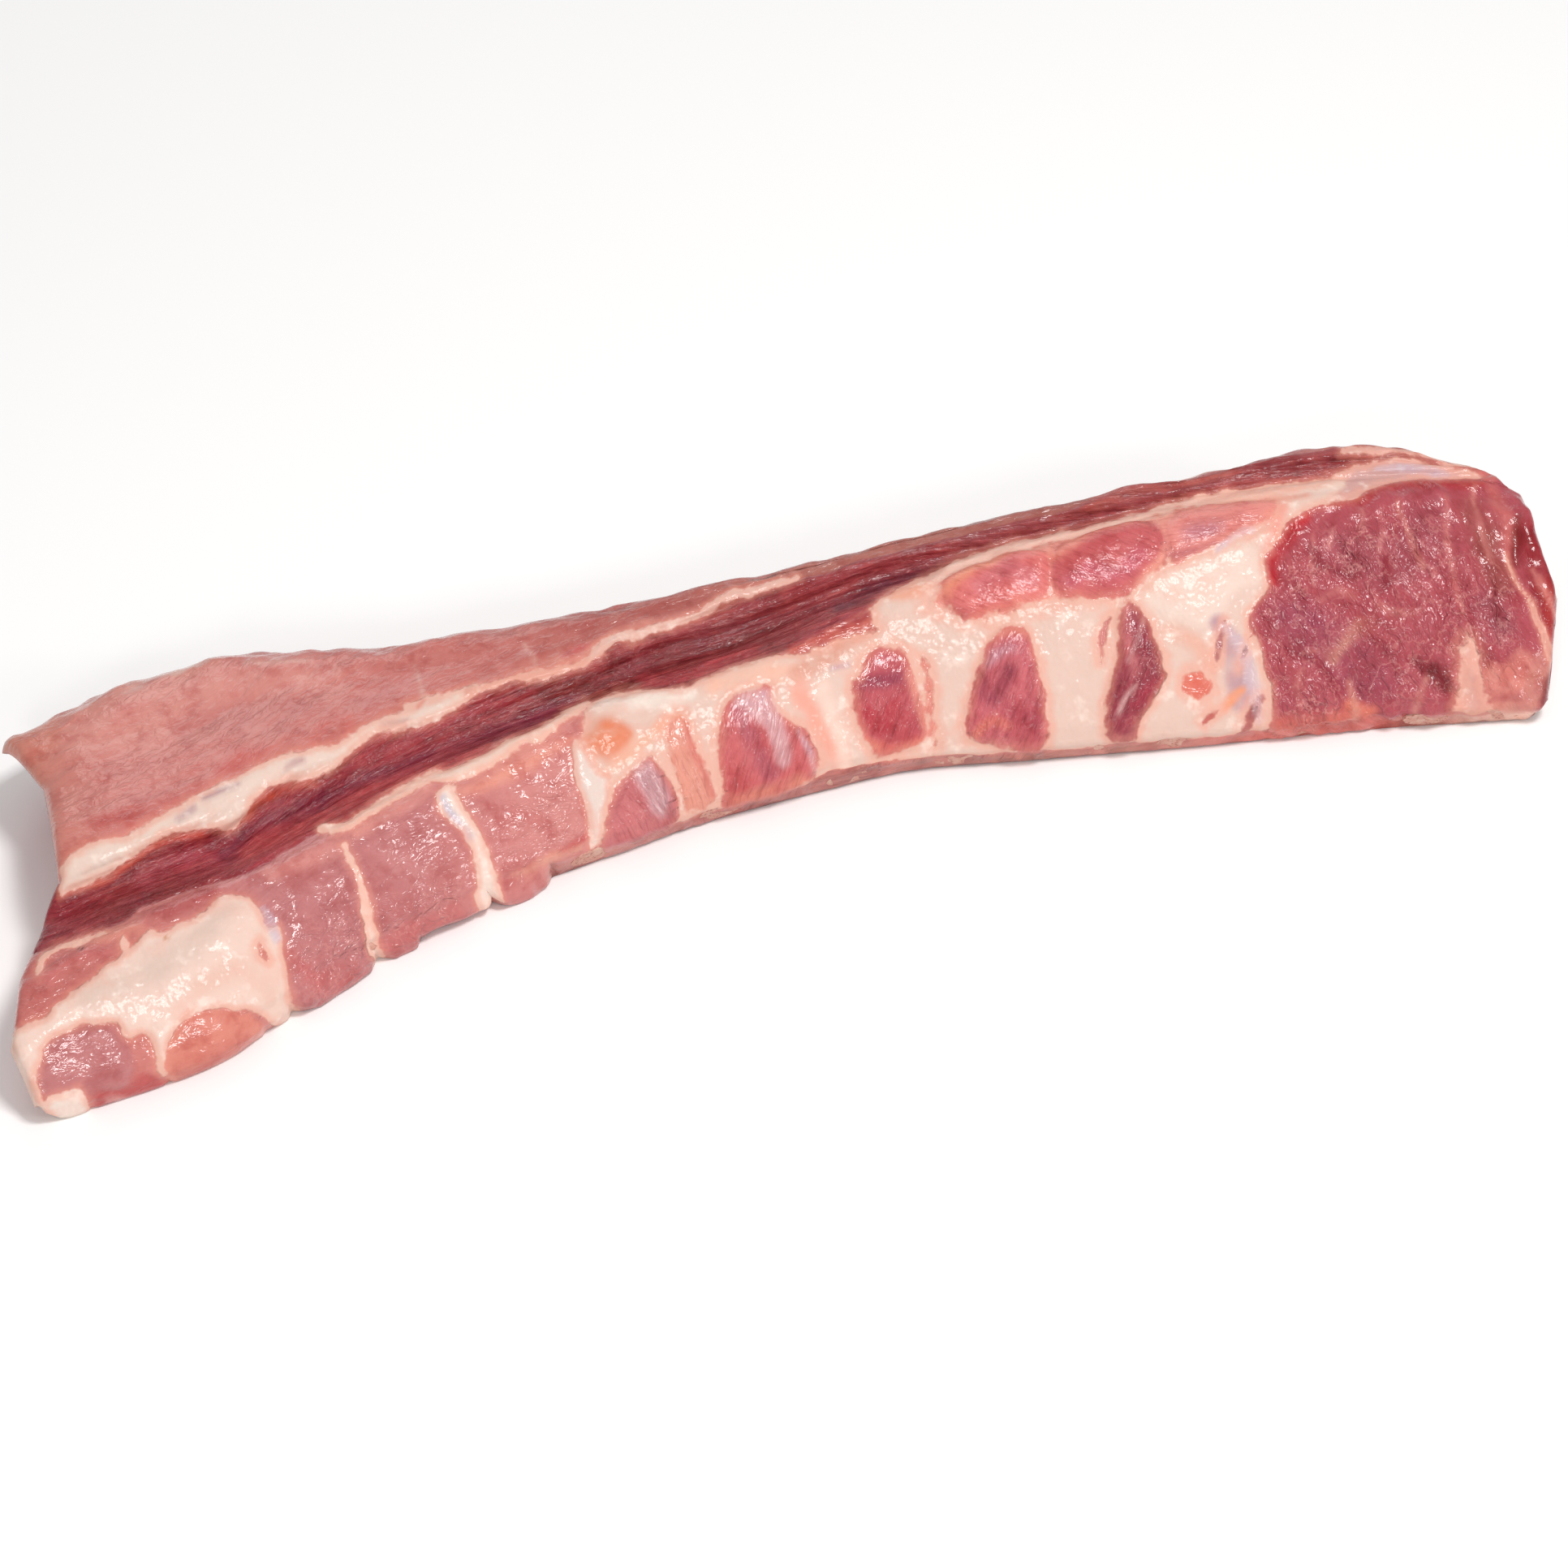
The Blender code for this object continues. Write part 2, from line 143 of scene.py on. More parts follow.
RIGHT_END = {"foot": 494, "lip": 497, "cheek": 499, "ridge": 488, "groove": 482, "seam": 479,
             "flap": 478, "crest": 477, "brow": 477, "back": 480, "heel": 482}
END_ROUNDING = ((0.0, 3.0), (0.25, 2.2), (0.6, 1.6), (1.0, 1.2), (1.8, 0.7), (2.6, 0.4),
                (3.5, 0.2))
# Lines round a section, with the rows of faces from each to the next: about one a millimetre
LINES = ("foot", "lip", "cheek", "ridge", "groove", "seam", "flap", "crest", "brow", "back", "heel")
ROWS = (7, 34, 34, 20, 12, 30, 20, 7, 14, 12, 12)
COLUMNS = 428
print("skin of about", sum(ROWS) * COLUMNS * 2, "triangles")

# %% [markdown]
# The curve between two lines is a cubic, and so is the change of each line along the rack. A cubic
# that keeps the slope level at a high or low point never overshoots, so no bulge appears that
# nobody asked for.


# %% Curves of the bar
def smooth_through(knots_at, values, at):
    """Cubic curve through the knots that never overshoots them."""
    knots_at = np.asarray(knots_at, float)
    values = np.asarray(values, float)
    slopes = np.diff(values) / np.diff(knots_at)
    tangents = np.concatenate([slopes[:1], np.zeros(len(values) - 2), slopes[-1:]])
    both = slopes[:-1] * slopes[1:]
    safe = np.where(both > 0, slopes[:-1] + slopes[1:], 1.0)
    tangents[1:-1] = np.where(both > 0, 2 * both / safe, 0.0)
    at = np.asarray(at, float)
    span = np.clip(np.searchsorted(knots_at, at) - 1, 0, len(slopes) - 1)
    step = np.diff(knots_at)[span]
    t = np.clip((at - knots_at[span]) / step, 0, 1)
    outside = at - np.clip(at, knots_at[0], knots_at[-1])
    end_slope = np.where(outside < 0, tangents[0], tangents[-1])
    return (values[span] * (2 * t ** 3 - 3 * t ** 2 + 1)
            + values[span + 1] * (3 * t ** 2 - 2 * t ** 3)
            + step * tangents[span] * (t ** 3 - 2 * t ** 2 + t)
            + step * tangents[span + 1] * (t ** 3 - t ** 2)
            + outside * end_slope)


def along_sections(values, along):
    """Value of one column of the section table at any place along the lip."""
    places = SECTION_STEP * np.arange(len(values))
    return smooth_through(places, values, along)


def section_lines(along):
    """Depth and height of every line of the section at places along the lip."""
    lines = {}
    for name, table in (("ridge", RIDGE), ("groove", GROOVE), ("seam", SEAM), ("crest", CREST)):
        lines[name] = np.stack([along_sections([point[0] for point in table], along),
                                along_sections([point[1] for point in table], along)], axis=-1)
    flat = np.zeros_like(along)
    lines["lip"] = np.stack([flat, flat + LIP_HEIGHT], axis=-1)
    lines["foot"] = np.stack([flat + SAW_UNDERCUT, flat], axis=-1)
    run = lines["ridge"] - lines["lip"]
    level = np.stack([-run[:, 1], run[:, 0]], axis=-1) / np.linalg.norm(run, axis=1)[:, None]
    crown = np.interp(along, (0, SECTION_STEP * (len(RIDGE) - 1)), CHEEK_CROWN)
    lines["cheek"] = lines["lip"] + CHEEK_PLACE * run + crown[:, None] * level
    width = lines["crest"] - lines["seam"]
    lines["flap"] = lines["seam"] + FLAP_PLACE * width
    lines["flap"][:, 1] += FLAP_CROWN * width[:, 0]
    crest = lines["crest"]
    lines["brow"] = crest + np.array([BROW[0], -BROW[1]])
    lines["back"] = np.stack([crest[:, 0] + BACK_SWELL, crest[:, 1] * BACK_LEVEL], axis=-1)
    lines["heel"] = np.stack([crest[:, 0] + HEEL_REACH, flat], axis=-1)
    return lines


def profile_point(along, line, t):
    """Depth and height on the section curve, a share t of the way from one line to the next."""
    table = section_lines(along)
    names = LINES[1:]
    first = table[LINES[line]]
    if LINES[line] in ("foot", "heel"):
        after = table["lip" if line == 0 else "foot"]
        return first + t * (after - first)
    points = np.stack([table[name] for name in names])
    number = line - 1
    lengths = np.linalg.norm(np.diff(points, axis=0), axis=-1)
    slopes = np.diff(points, axis=0) / lengths[..., None]
    weight = lengths[:-1] / (lengths[:-1] + lengths[1:])
    tangents = np.empty_like(points)
    tangents[1:-1] = (1 - weight)[..., None] * slopes[:-1] + weight[..., None] * slopes[1:]
    tangents[0] = 1.5 * slopes[0] - 0.5 * tangents[1]
    tangents[-1] = 1.5 * slopes[-1] - 0.5 * tangents[-2]
    step = lengths[number][:, None]
    return (points[number] * (2 * t ** 3 - 3 * t ** 2 + 1)
            + points[number + 1] * (3 * t ** 2 - 2 * t ** 3)
            + step * tangents[number] * (t ** 3 - 2 * t ** 2 + t)
            + step * tangents[number + 1] * (t ** 3 - t ** 2))


def place(along, profile):
    """Turn a place along the lip and a depth and height into x, y, z."""
    x = along_sections([point[0] for point in LIP_PLAN], along) - PLAN_SHIFT[0]
    y = along_sections([point[1] for point in LIP_PLAN], along) - PLAN_SHIFT[1]
    lean = np.radians(np.interp(along, *zip(*SECTION_LEAN)))
    return np.stack([x + profile[..., 0] * np.sin(lean), y + profile[..., 0] * np.cos(lean),
                     profile[..., 1] + 0 * x], axis=-1)


# %% [markdown]
# ## The grid of the skin
#
# One ring of points goes round the bar for each column, and each row of points runs its length.
# `round_at` counts the lines: 0 at the foot, 1 at the lip, 3 on the ridge, 7 on the crest. The ends
# draw in over their last millimetres, because cut meat has soft edges.


# %% Grid of the skin
def skin_grid():
    """Points of the skin, their place along the lip, and their place round the section."""
    inner = np.arange(1, COLUMNS) / COLUMNS
    edge = END_ROUNDING[-1][0]
    near = [distance for distance, _ in END_ROUNDING]
    drawn = [depth for _, depth in END_ROUNDING]
    drawn_in = np.concatenate([drawn, np.zeros(COLUMNS - 1), drawn[::-1]])
    closed = LINES + ("foot",)
    along, profile, round_at = [], [], []
    for line, count in enumerate(ROWS):
        for t in np.arange(count) / count:
            start = (1 - t) * LEFT_END[closed[line]] + t * LEFT_END[closed[line + 1]]
            stop = (1 - t) * RIGHT_END[closed[line]] + t * RIGHT_END[closed[line + 1]]
            body = start + edge + inner * (stop - start - 2 * edge)
            row = np.concatenate([start + np.array(near), body, stop - np.array(near[::-1])])
            along.append(row)
            profile.append(profile_point(row, line, t))
            round_at.append(np.full(len(row), line + t))
    along, round_at = np.stack(along, axis=1), np.stack(round_at, axis=1)
    profile = np.stack(profile, axis=1)
    run = np.roll(profile, -1, axis=1) - np.roll(profile, 1, axis=1)
    outward = np.stack([-run[..., 1], run[..., 0]], axis=-1)
    outward /= np.linalg.norm(outward, axis=-1, keepdims=True)
    profile -= outward * drawn_in[:, None, None]
    profile[..., 1] = np.maximum(profile[..., 1], 0.0)
    return place(along, profile), along, round_at


def outward_normals(grid):
    """Direction that faces out of the skin at each point of the grid."""
    along_way = np.gradient(grid, axis=0)
    round_way = np.roll(grid, -1, axis=1) - np.roll(grid, 1, axis=1)
    normal = np.cross(along_way, round_way)
    return normal / np.maximum(np.linalg.norm(normal, axis=-1, keepdims=True), 1e-9)


base_grid, along_grid, round_grid = skin_grid()
base_normals = outward_normals(base_grid)
steps_round = np.linalg.norm(np.diff(base_grid, axis=1, append=base_grid[:, :1]), axis=-1)
girth_grid = np.cumsum(steps_round, axis=1) - steps_round
print("grid of", base_grid.shape[0], "rings with", base_grid.shape[1], "points each")

# %% [markdown]
# ## Noise and drawn outlines
#
# Nothing on meat is straight. `soft_noise` gives lumps of any size from a seeded table, so each run
# makes the same rack. `inside` says how deep a place lies inside an outline drawn on the
# photograph, and `near_stroke` how deep it lies in a brush stroke; both answer in millimetres on
# the meat, below zero outside.

# %% Noise, outlines and strokes
PIXELS_PER_MM = 4.1
FAR_OUTSIDE = -15.0        # depth given to every spot further out than this, in millimetres
NOISE_CELLS = 32           # the noise repeats after so many lumps
CORNER_CUT = 0.2           # share of each side that a drawn corner loses at both its ends


def soft_noise(points, size, seed):
    """Smooth noise between -1 and 1 in lumps of a size in millimetres."""
    table = np.random.default_rng(seed).uniform(-1, 1, (NOISE_CELLS,) * 3)
    cell = points / size
    corner = np.floor(cell).astype(int)
    part = cell - corner
    ease = part * part * (3 - 2 * part)
    total = np.zeros(points.shape[:-1])
    for step in np.ndindex(2, 2, 2):
        weight = np.prod(np.where(np.array(step) == 1, ease, 1 - ease), axis=-1)
        at = (corner + np.array(step)) % NOISE_CELLS
        total += weight * table[at[..., 0], at[..., 1], at[..., 2]]
    return total


def ramp(value, low, high):
    """Rises smoothly from 0 at low to 1 at high."""
    t = np.clip((value - low) / (high - low), 0, 1)
    return t * t * (3 - 2 * t)


def segment_distance(spots, start, stop):
    """Distance to a straight piece of line, and the share of it at the nearest place."""
    way = stop - start
    share = np.clip((spots - start) @ way / max(way @ way, 1e-9), 0, 1)
    return np.linalg.norm(spots - start - share[:, None] * way, axis=1), share


def close_by(spots, points, reach):
    """Which spots lie near enough to the points to need a measurement."""
    points = np.asarray(points, float)
    low, high = points.min(axis=0) - reach, points.max(axis=0) + reach
    return np.all((spots > low) & (spots < high), axis=1)


def curved(path, closed):
    """The path with its corners cut off, so that it runs in curves."""
    after = np.roll(path, -1, axis=0)
    cut = np.stack([(1 - CORNER_CUT) * path + CORNER_CUT * after,
                    CORNER_CUT * path + (1 - CORNER_CUT) * after], axis=1)
    cut = cut.reshape(-1, path.shape[1])
    return cut if closed else np.vstack([path[:1], cut[:-2], path[-1:]])


def inside(spots, outline):
    """Depth of each spot inside a closed outline, in millimetres."""
    corners = curved(np.array(outline, float), True)
    depth = np.full(len(spots), FAR_OUTSIDE)
    chosen = close_by(spots, corners, -FAR_OUTSIDE * PIXELS_PER_MM)
    picked = spots[chosen]
    nearest = np.full(len(picked), 1e9)
    within = np.zeros(len(picked), bool)
    for start, stop in zip(corners, np.roll(corners, -1, axis=0)):
        nearest = np.minimum(nearest, segment_distance(picked, start, stop)[0])
        crosses = (start[1] > picked[:, 1]) != (stop[1] > picked[:, 1])
        rise = stop[1] - start[1] if stop[1] != start[1] else 1e-9
        turn = start[0] + (picked[:, 1] - start[1]) / rise * (stop[0] - start[0])
        within ^= crosses & (picked[:, 0] < turn)
    depth[chosen] = np.where(within, nearest, -nearest) / PIXELS_PER_MM
    return depth


def near_stroke(spots, path):
    """Depth of each spot inside a stroke given as (right, down, width) in pixels."""
    knots = curved(np.array(path, float), False)
    depth = np.full(len(spots), FAR_OUTSIDE)
    chosen = close_by(spots, knots[:, :2], -FAR_OUTSIDE * PIXELS_PER_MM)
    picked = spots[chosen]
    best = np.full(len(picked), FAR_OUTSIDE * PIXELS_PER_MM)
    for start, stop in zip(knots[:-1], knots[1:]):
        distance, share = segment_distance(picked, start[:2], stop[:2])
        half = 0.5 * (start[2] + share * (stop[2] - start[2]))
        best = np.maximum(best, half - distance)
    depth[chosen] = best / PIXELS_PER_MM
    return depth


def linear(code):
    """Linear colour of an sRGB hex value."""
    part = np.array([int(code[at:at + 2], 16) for at in (1, 3, 5)]) / 255
    return np.where(part <= 0.04045, part / 12.92, ((part + 0.055) / 1.055) ** 2.4)


LIT_SHARE = 0.9            # hex values are tones in bright light, and the surface is darker
GLOSS_SHARE = 0.022        # what the wet gloss adds to every tone, in linear light
DARKEST = 0.004


def tissue_colour(code):
    """Surface colour of a tissue whose lit tone is given as a hex value."""
    return LIT_SHARE * np.maximum(linear(code) - GLOSS_SHARE, DARKEST)


# %% [markdown]
# ## Canvas
#
# The skin's points become one long list. Each gets the pixel at which the camera sees it, pushed
# about a little by noise so that drawn borders come out ragged, as tissue tears and folds. Then the
# layers are painted: the colour of the muscle, the colour of the fat and how deep a place lies in
# it, how much thin silver membrane lies on top, how wet it is, how far it is raised, and which way
# the fibres run.

# %% Canvas
points = base_grid.reshape(-1, 3)
total = len(points)
along = along_grid.reshape(-1)
round_at = round_grid.reshape(-1)
girth = girth_grid.reshape(-1)
WOBBLE = ((13.0, 4.0, 11), (4.5, 2.4, 12))     # lump size, push in pixels, seed
DOWN_SEED = 50             # added to the seed for the push downwards
NO_FAT = -8.0              # depth in fat where there is none
DAMP = 0.35                # wetness of meat where no wet patch is drawn


def wobbled(spots):
    """Pixels pushed about by noise of two sizes."""
    moved = spots.copy()
    for size, push, seed in WOBBLE:
        moved[:, 0] += push * soft_noise(points, size, seed)
        moved[:, 1] += push * soft_noise(points, size, seed + DOWN_SEED)
    return moved


true_spots = photo_pixel(points)
spots = wobbled(true_spots)
muscle = np.zeros((total, 3))
fat_tone = np.tile(tissue_colour("#f3d6c8"), (total, 1))
fat = np.full(total, NO_FAT)
film = np.zeros(total)
wet = np.full(total, DAMP)
raised = np.zeros(total)
fibre = np.stack([along, girth, np.zeros(total)], axis=1)


def blend(layer, colour, amount):
    """Mix a colour into a painted layer, in place."""
    layer += amount[:, None] * (np.asarray(colour) - layer)


def tone_along(right, table):
    """Colour that changes from left to right as a table of (pixel, hex) says."""
    stops = [stop for stop, _ in table]
    colours = np.array([tissue_colour(code) for _, code in table])
    return np.stack([np.interp(right, stops, channel) for channel in colours.T], axis=1)


print(total, "points to paint")

# %% [markdown]
# ## The three long bands
#
# From the back to the front the rack shows the pale cut face of the back muscle, a dark muscle in
# the groove beside the spine, and the inner side of the rib cage. Two long borders part them. Their
# colours drift from left to right, in tones that were tuned against the photograph.

# %% Long bands
SEAM_LINE = ((-40, 1120), (76, 1090), (115, 1060), (150, 1048), (200, 1018), (262, 995), (300, 985),
             (335, 955), (380, 945), (420, 930), (470, 897), (530, 880), (575, 858), (620, 840),
             (660, 836), (735, 808), (760, 792), (820, 769), (880, 748), (940, 722), (1020, 706),
             (1060, 690), (1140, 669), (1220, 651), (1300, 634), (1350, 612), (1530, 572),
             (1700, 540), (1950, 520))
RIDGE_LINE = ((-40, 1210), (50, 1175), (100, 1155), (150, 1138), (175, 1118), (220, 1100),
              (300, 1078), (360, 1045), (400, 1022), (430, 1010), (465, 988), (500, 968),
              (530, 953), (575, 940), (610, 918), (660, 905), (690, 882), (730, 862), (770, 850),
              (850, 848), (890, 825), (930, 815), (960, 806), (1000, 800), (1060, 762),
              (1095, 735), (1165, 697), (1190, 683), (1250, 670), (1340, 647), (1400, 632),
              (1500, 612), (1600, 600), (1700, 596), (1950, 560))
FLAP_TONES = ((20, "#d08a76"), (60, "#d28679"), (150, "#d5857d"), (300, "#d18078"),
              (600, "#c6776f"), (820, "#af625b"), (1000, "#b27065"), (1300, "#a6665e"),
              (1500, "#ad6661"), (1740, "#c48c86"))
GROOVE_TONES = ((70, "#963a42"), (200, "#86292f"), (330, "#a2424a"), (395, "#8a2c34"),
                (500, "#a64248"), (700, "#7c2226"), (850, "#741c22"), (1000, "#9b4649"),
                (1200, "#93494b"), (1400, "#a05252"), (1560, "#9f4a4b"), (1700, "#a65254"))
NEAR_TONES = ((60, "#c8746e"), (200, "#cc7a74"), (320, "#c57d7c"), (500, "#c27877"),
              (640, "#d58984"), (820, "#d68d86"), (1000, "#d58078"), (1500, "#c4626a"),
              (1900, "#c05058"))


def below(spots, line):
    """How far each spot lies below a long border, in millimetres."""
    return (spots[:, 1] - np.interp(spots[:, 0], *zip(*line))) / PIXELS_PER_MM


below_seam = below(spots, SEAM_LINE)
below_ridge = below(spots, RIDGE_LINE)
muscle[:] = tone_along(spots[:, 0], FLAP_TONES)
blend(muscle, tone_along(spots[:, 0], GROOVE_TONES), ramp(below_seam, -0.3, 0.5))
blend(muscle, tone_along(spots[:, 0], NEAR_TONES), ramp(below_ridge, -0.4, 0.6))
in_groove = ramp(below_seam, 0, 1.5) * ramp(-below_ridge, 0, 1.5)
print("share of the skin in the groove:", round(float(in_groove.mean()), 3))

# %% [markdown]
# ## Drawn tissues
#
# Each tissue is one row of a table: its kind, colour, how soft its edge is and how far it swells
# (both in millimetres), and its outline or stroke in photograph pixels. The kinds are
#
# - `muscle`: meat that lies on the fat, with a crisp border
# - `fat`: cream fat, cartilage or bone membrane, with a crisp border
# - `tint` and `fat_tint`: a change of colour inside muscle or inside fat; a few of them, marked at
#   their rows, are painted shade in hollows and creases and painted highlights on swellings
# - `veil`: thin silver membrane
# - `crease`: a fold or a roll, which changes the form alone and has no colour
#
# Later rows lie on top of earlier ones, as paint does.

# %% Tissues of the flap, the seam and the groove
TOP_TISSUES = (
    ("tint", "#d58676", 3, 0, ((-10, 960), (5, 915), (60, 870), (130, 838), (215, 795), (290, 785),
        (262, 826), (190, 842), (118, 872), (70, 905), (40, 945))),
    ("tint", "#9d5a4c", 1.2, 0, ((225, 803, 10), (250, 808, 9), (270, 803, 5))),
    ("tint", "#e9c3b6", 1, 0, ((155, 853, 2), (180, 842, 6), (210, 826, 6), (245, 815, 3))),
    ("tint", "#dd958a", 6, 0, ((110, 900, 60), (180, 880, 80), (300, 860, 70), (420, 850, 50))),
    ("tint", "#c97a74", 5, 0, ((230, 900, 20), (320, 880, 40), (420, 870, 30), (520, 838, 24))),
    ("tint", "#c2605c", 2.5, 0, ((118, 1012, 12), (165, 1004, 16), (215, 985, 10))),
    ("tint", "#cc6a64", 2, 0, ((265, 948, 8), (300, 932, 18), (330, 918, 8))),
    ("tint", "#cf7068", 2, 0, ((385, 920, 8), (392, 895, 12), (420, 880, 10), (432, 905, 12))),
    ("tint", "#bd4a44", 0.9, 0, ((158, 1016, 5), (169, 1022, 5))),
    ("tint", "#dd9485", 2.5, 0, ((640, 836, 8), (670, 822, 22), (720, 805, 18), (760, 785, 6))),
    ("tint", "#c8585a", 1.5, 0, ((695, 806, 5), (712, 798, 9), (728, 796, 5))),
    ("tint", "#c9877e", 2, 0, ((780, 770, 6), (850, 758, 9), (900, 735, 6))),
    ("fat", "#edd3c5", 0.8, 0.9, ((78, 1062), (115, 1035), (150, 1033), (165, 1028), (185, 1010),
        (235, 988), (275, 965), (305, 948), (335, 935), (380, 928), (420, 918), (450, 895),
        (490, 880), (530, 866), (562, 852), (592, 842), (580, 856), (560, 872), (530, 890),
        (500, 899), (460, 904), (440, 918), (420, 938), (380, 960), (335, 965), (312, 985),
        (300, 1008), (285, 1024), (250, 1018), (200, 1028), (180, 1042), (140, 1068), (110, 1085),
        (90, 1098), (72, 1110))),
    ("fat", "#dda596", 0.8, 0.5, ((575, 855, 8), (600, 843, 5), (625, 838, 4), (660, 836, 5),
        (700, 822, 4), (738, 808, 6))),
    ("fat", "#dcc2b8", 0.8, 0.7, ((730, 810, 4), (745, 796, 9), (765, 788, 10), (800, 776, 6),
        (850, 760, 5), (880, 748, 6), (915, 730, 7), (940, 722, 6), (985, 712, 3))),
    ("fat", "#e2c6ba", 0.8, 0.5, ((500, 872, 5), (526, 868, 11), (538, 862, 8))),
    ("tint", "#d9a79c", 1.2, 0.2, ((512, 822, 2), (517, 845, 3), (522, 862, 6))),
    ("tint", "#dcaa9e", 1.2, 0.2, ((648, 795, 2), (658, 815, 4), (668, 834, 6))),
    ("tint", "#dcaa9e", 1.2, 0.2, ((300, 818, 2), (340, 819, 3), (380, 815, 2))),
    ("fat_tint", "#d5695f", 0.7, 0, ((246, 968, 4), (252, 978, 4))),
    ("fat_tint", "#d5695f", 0.7, 0, ((514, 872, 4), (522, 866, 3))),
    ("fat_tint", "#d5695f", 0.7, 0, ((418, 912, 3), (426, 906, 4))),
    ("fat_tint", "#bf979a", 1, 0, ((218, 1008, 8), (238, 998, 9))),
    ("fat_tint", "#c29c9c", 1, 0, ((254, 985, 8), (290, 970, 9))),
    ("fat_tint", "#c79c9b", 1, 0, ((352, 950, 6), (372, 940, 8))),
    ("fat_tint", "#c9a49e", 1.5, 0, ((470, 896, 6), (500, 892, 6))),
    ("tint", "#c94b3c", 1.5, 0, ((78, 1103, 7), (120, 1085, 8), (155, 1068, 7), (190, 1040, 7),
        (250, 1028, 7))),
    ("tint", "#c75544", 1.6, 0, ((303, 1012, 8), (318, 990, 12), (350, 972, 8), (385, 965, 5))),
    ("tint", "#ab4752", 4, 0, ((180, 1085, 20), (230, 1060, 28), (275, 1055, 14))),
    # painted shade: this dark line sinks along the middle of the groove; it is partly the dark
    # muscle's own colour and partly painted shade in the groove's hollow
    ("tint", "#823544", 2.6, -1, ((262, 1046, 8), (282, 1050, 22), (300, 1030, 16), (350, 1006, 12),
        (392, 986, 24), (430, 968, 14), (480, 945, 12), (540, 926, 12), (620, 900, 13),
        (680, 874, 20), (720, 862, 10))),
    ("tint", "#b3474a", 3, 0, ((300, 1052, 16), (360, 1026, 24), (420, 1000, 16), (470, 972, 18),
        (540, 950, 16), (600, 922, 8))),
    ("tint", "#a9434a", 3, 0, ((420, 938, 14), (500, 912, 22), (580, 880, 30), (650, 856, 18))),
    # painted shade: the groove's dark middle line goes on here, partly the muscle's own colour and
    # partly painted shade in the hollow
    ("tint", "#8c3e44", 3, -0.4, ((740, 836, 16), (800, 812, 26), (870, 786, 22), (960, 762, 16),
        (1040, 738, 14), (1100, 712, 10))),
    ("tint", "#b2444a", 2, 0, ((790, 838, 8), (850, 830, 18), (890, 812, 14), (930, 800, 8))),
    ("tint", "#a5474c", 3, 0, ((700, 832, 8), (760, 806, 14), (840, 776, 14), (940, 738, 12),
        (1060, 706, 12), (1180, 676, 10))),
    # painted shade: the groove's dark middle line goes on here, partly the muscle's own colour and
    # partly painted shade in the hollow
    ("tint", "#743b47", 2, -0.4, ((1030, 752, 8), (1090, 722, 14), (1150, 700, 16),
        (1190, 684, 8))),
    ("tint", "#9a4a4e", 2, 0, ((1200, 668, 10), (1300, 645, 10), (1400, 620, 12), (1500, 598, 12))),
    # painted shade: the groove's dark middle line goes on here, partly the muscle's own colour and
    # partly painted shade in the hollow
    ("tint", "#8b383c", 1.6, -0.3, ((1540, 583, 8), (1600, 574, 16), (1660, 571, 16),
        (1720, 563, 7), (1790, 574, 4))),
    ("tint", "#b96058", 2, 0, ((1340, 622, 6), (1430, 600, 8), (1520, 583, 7))),
    ("fat", "#d3a59f", 1.2, 0.3, ((1640, 590), (1676, 575), (1720, 569), (1770, 573), (1830, 588),
        (1834, 597), (1780, 592), (1730, 597), (1690, 606), (1650, 617), (1600, 636), (1560, 650),
        (1540, 645), (1600, 612))),
    ("fat", "#d5aaa3", 1, 0.2, ((1655, 556, 3), (1700, 555, 8), (1760, 558, 8), (1800, 572, 4))),
    ("veil", "#b9a0b4", 1.5, 0, ((1700, 580, 8), (1740, 580, 16), (1780, 584, 8))),
)
print(len(TOP_TISSUES), "tissues on the top")

# %% [markdown]
# The inner side of the rib cage is painted next. At the left a wide patch of fat lies between small
# muscles; then come three flat panels of muscle between thin strips; then pale ribs under their
# membrane, with short dark muscles between them.

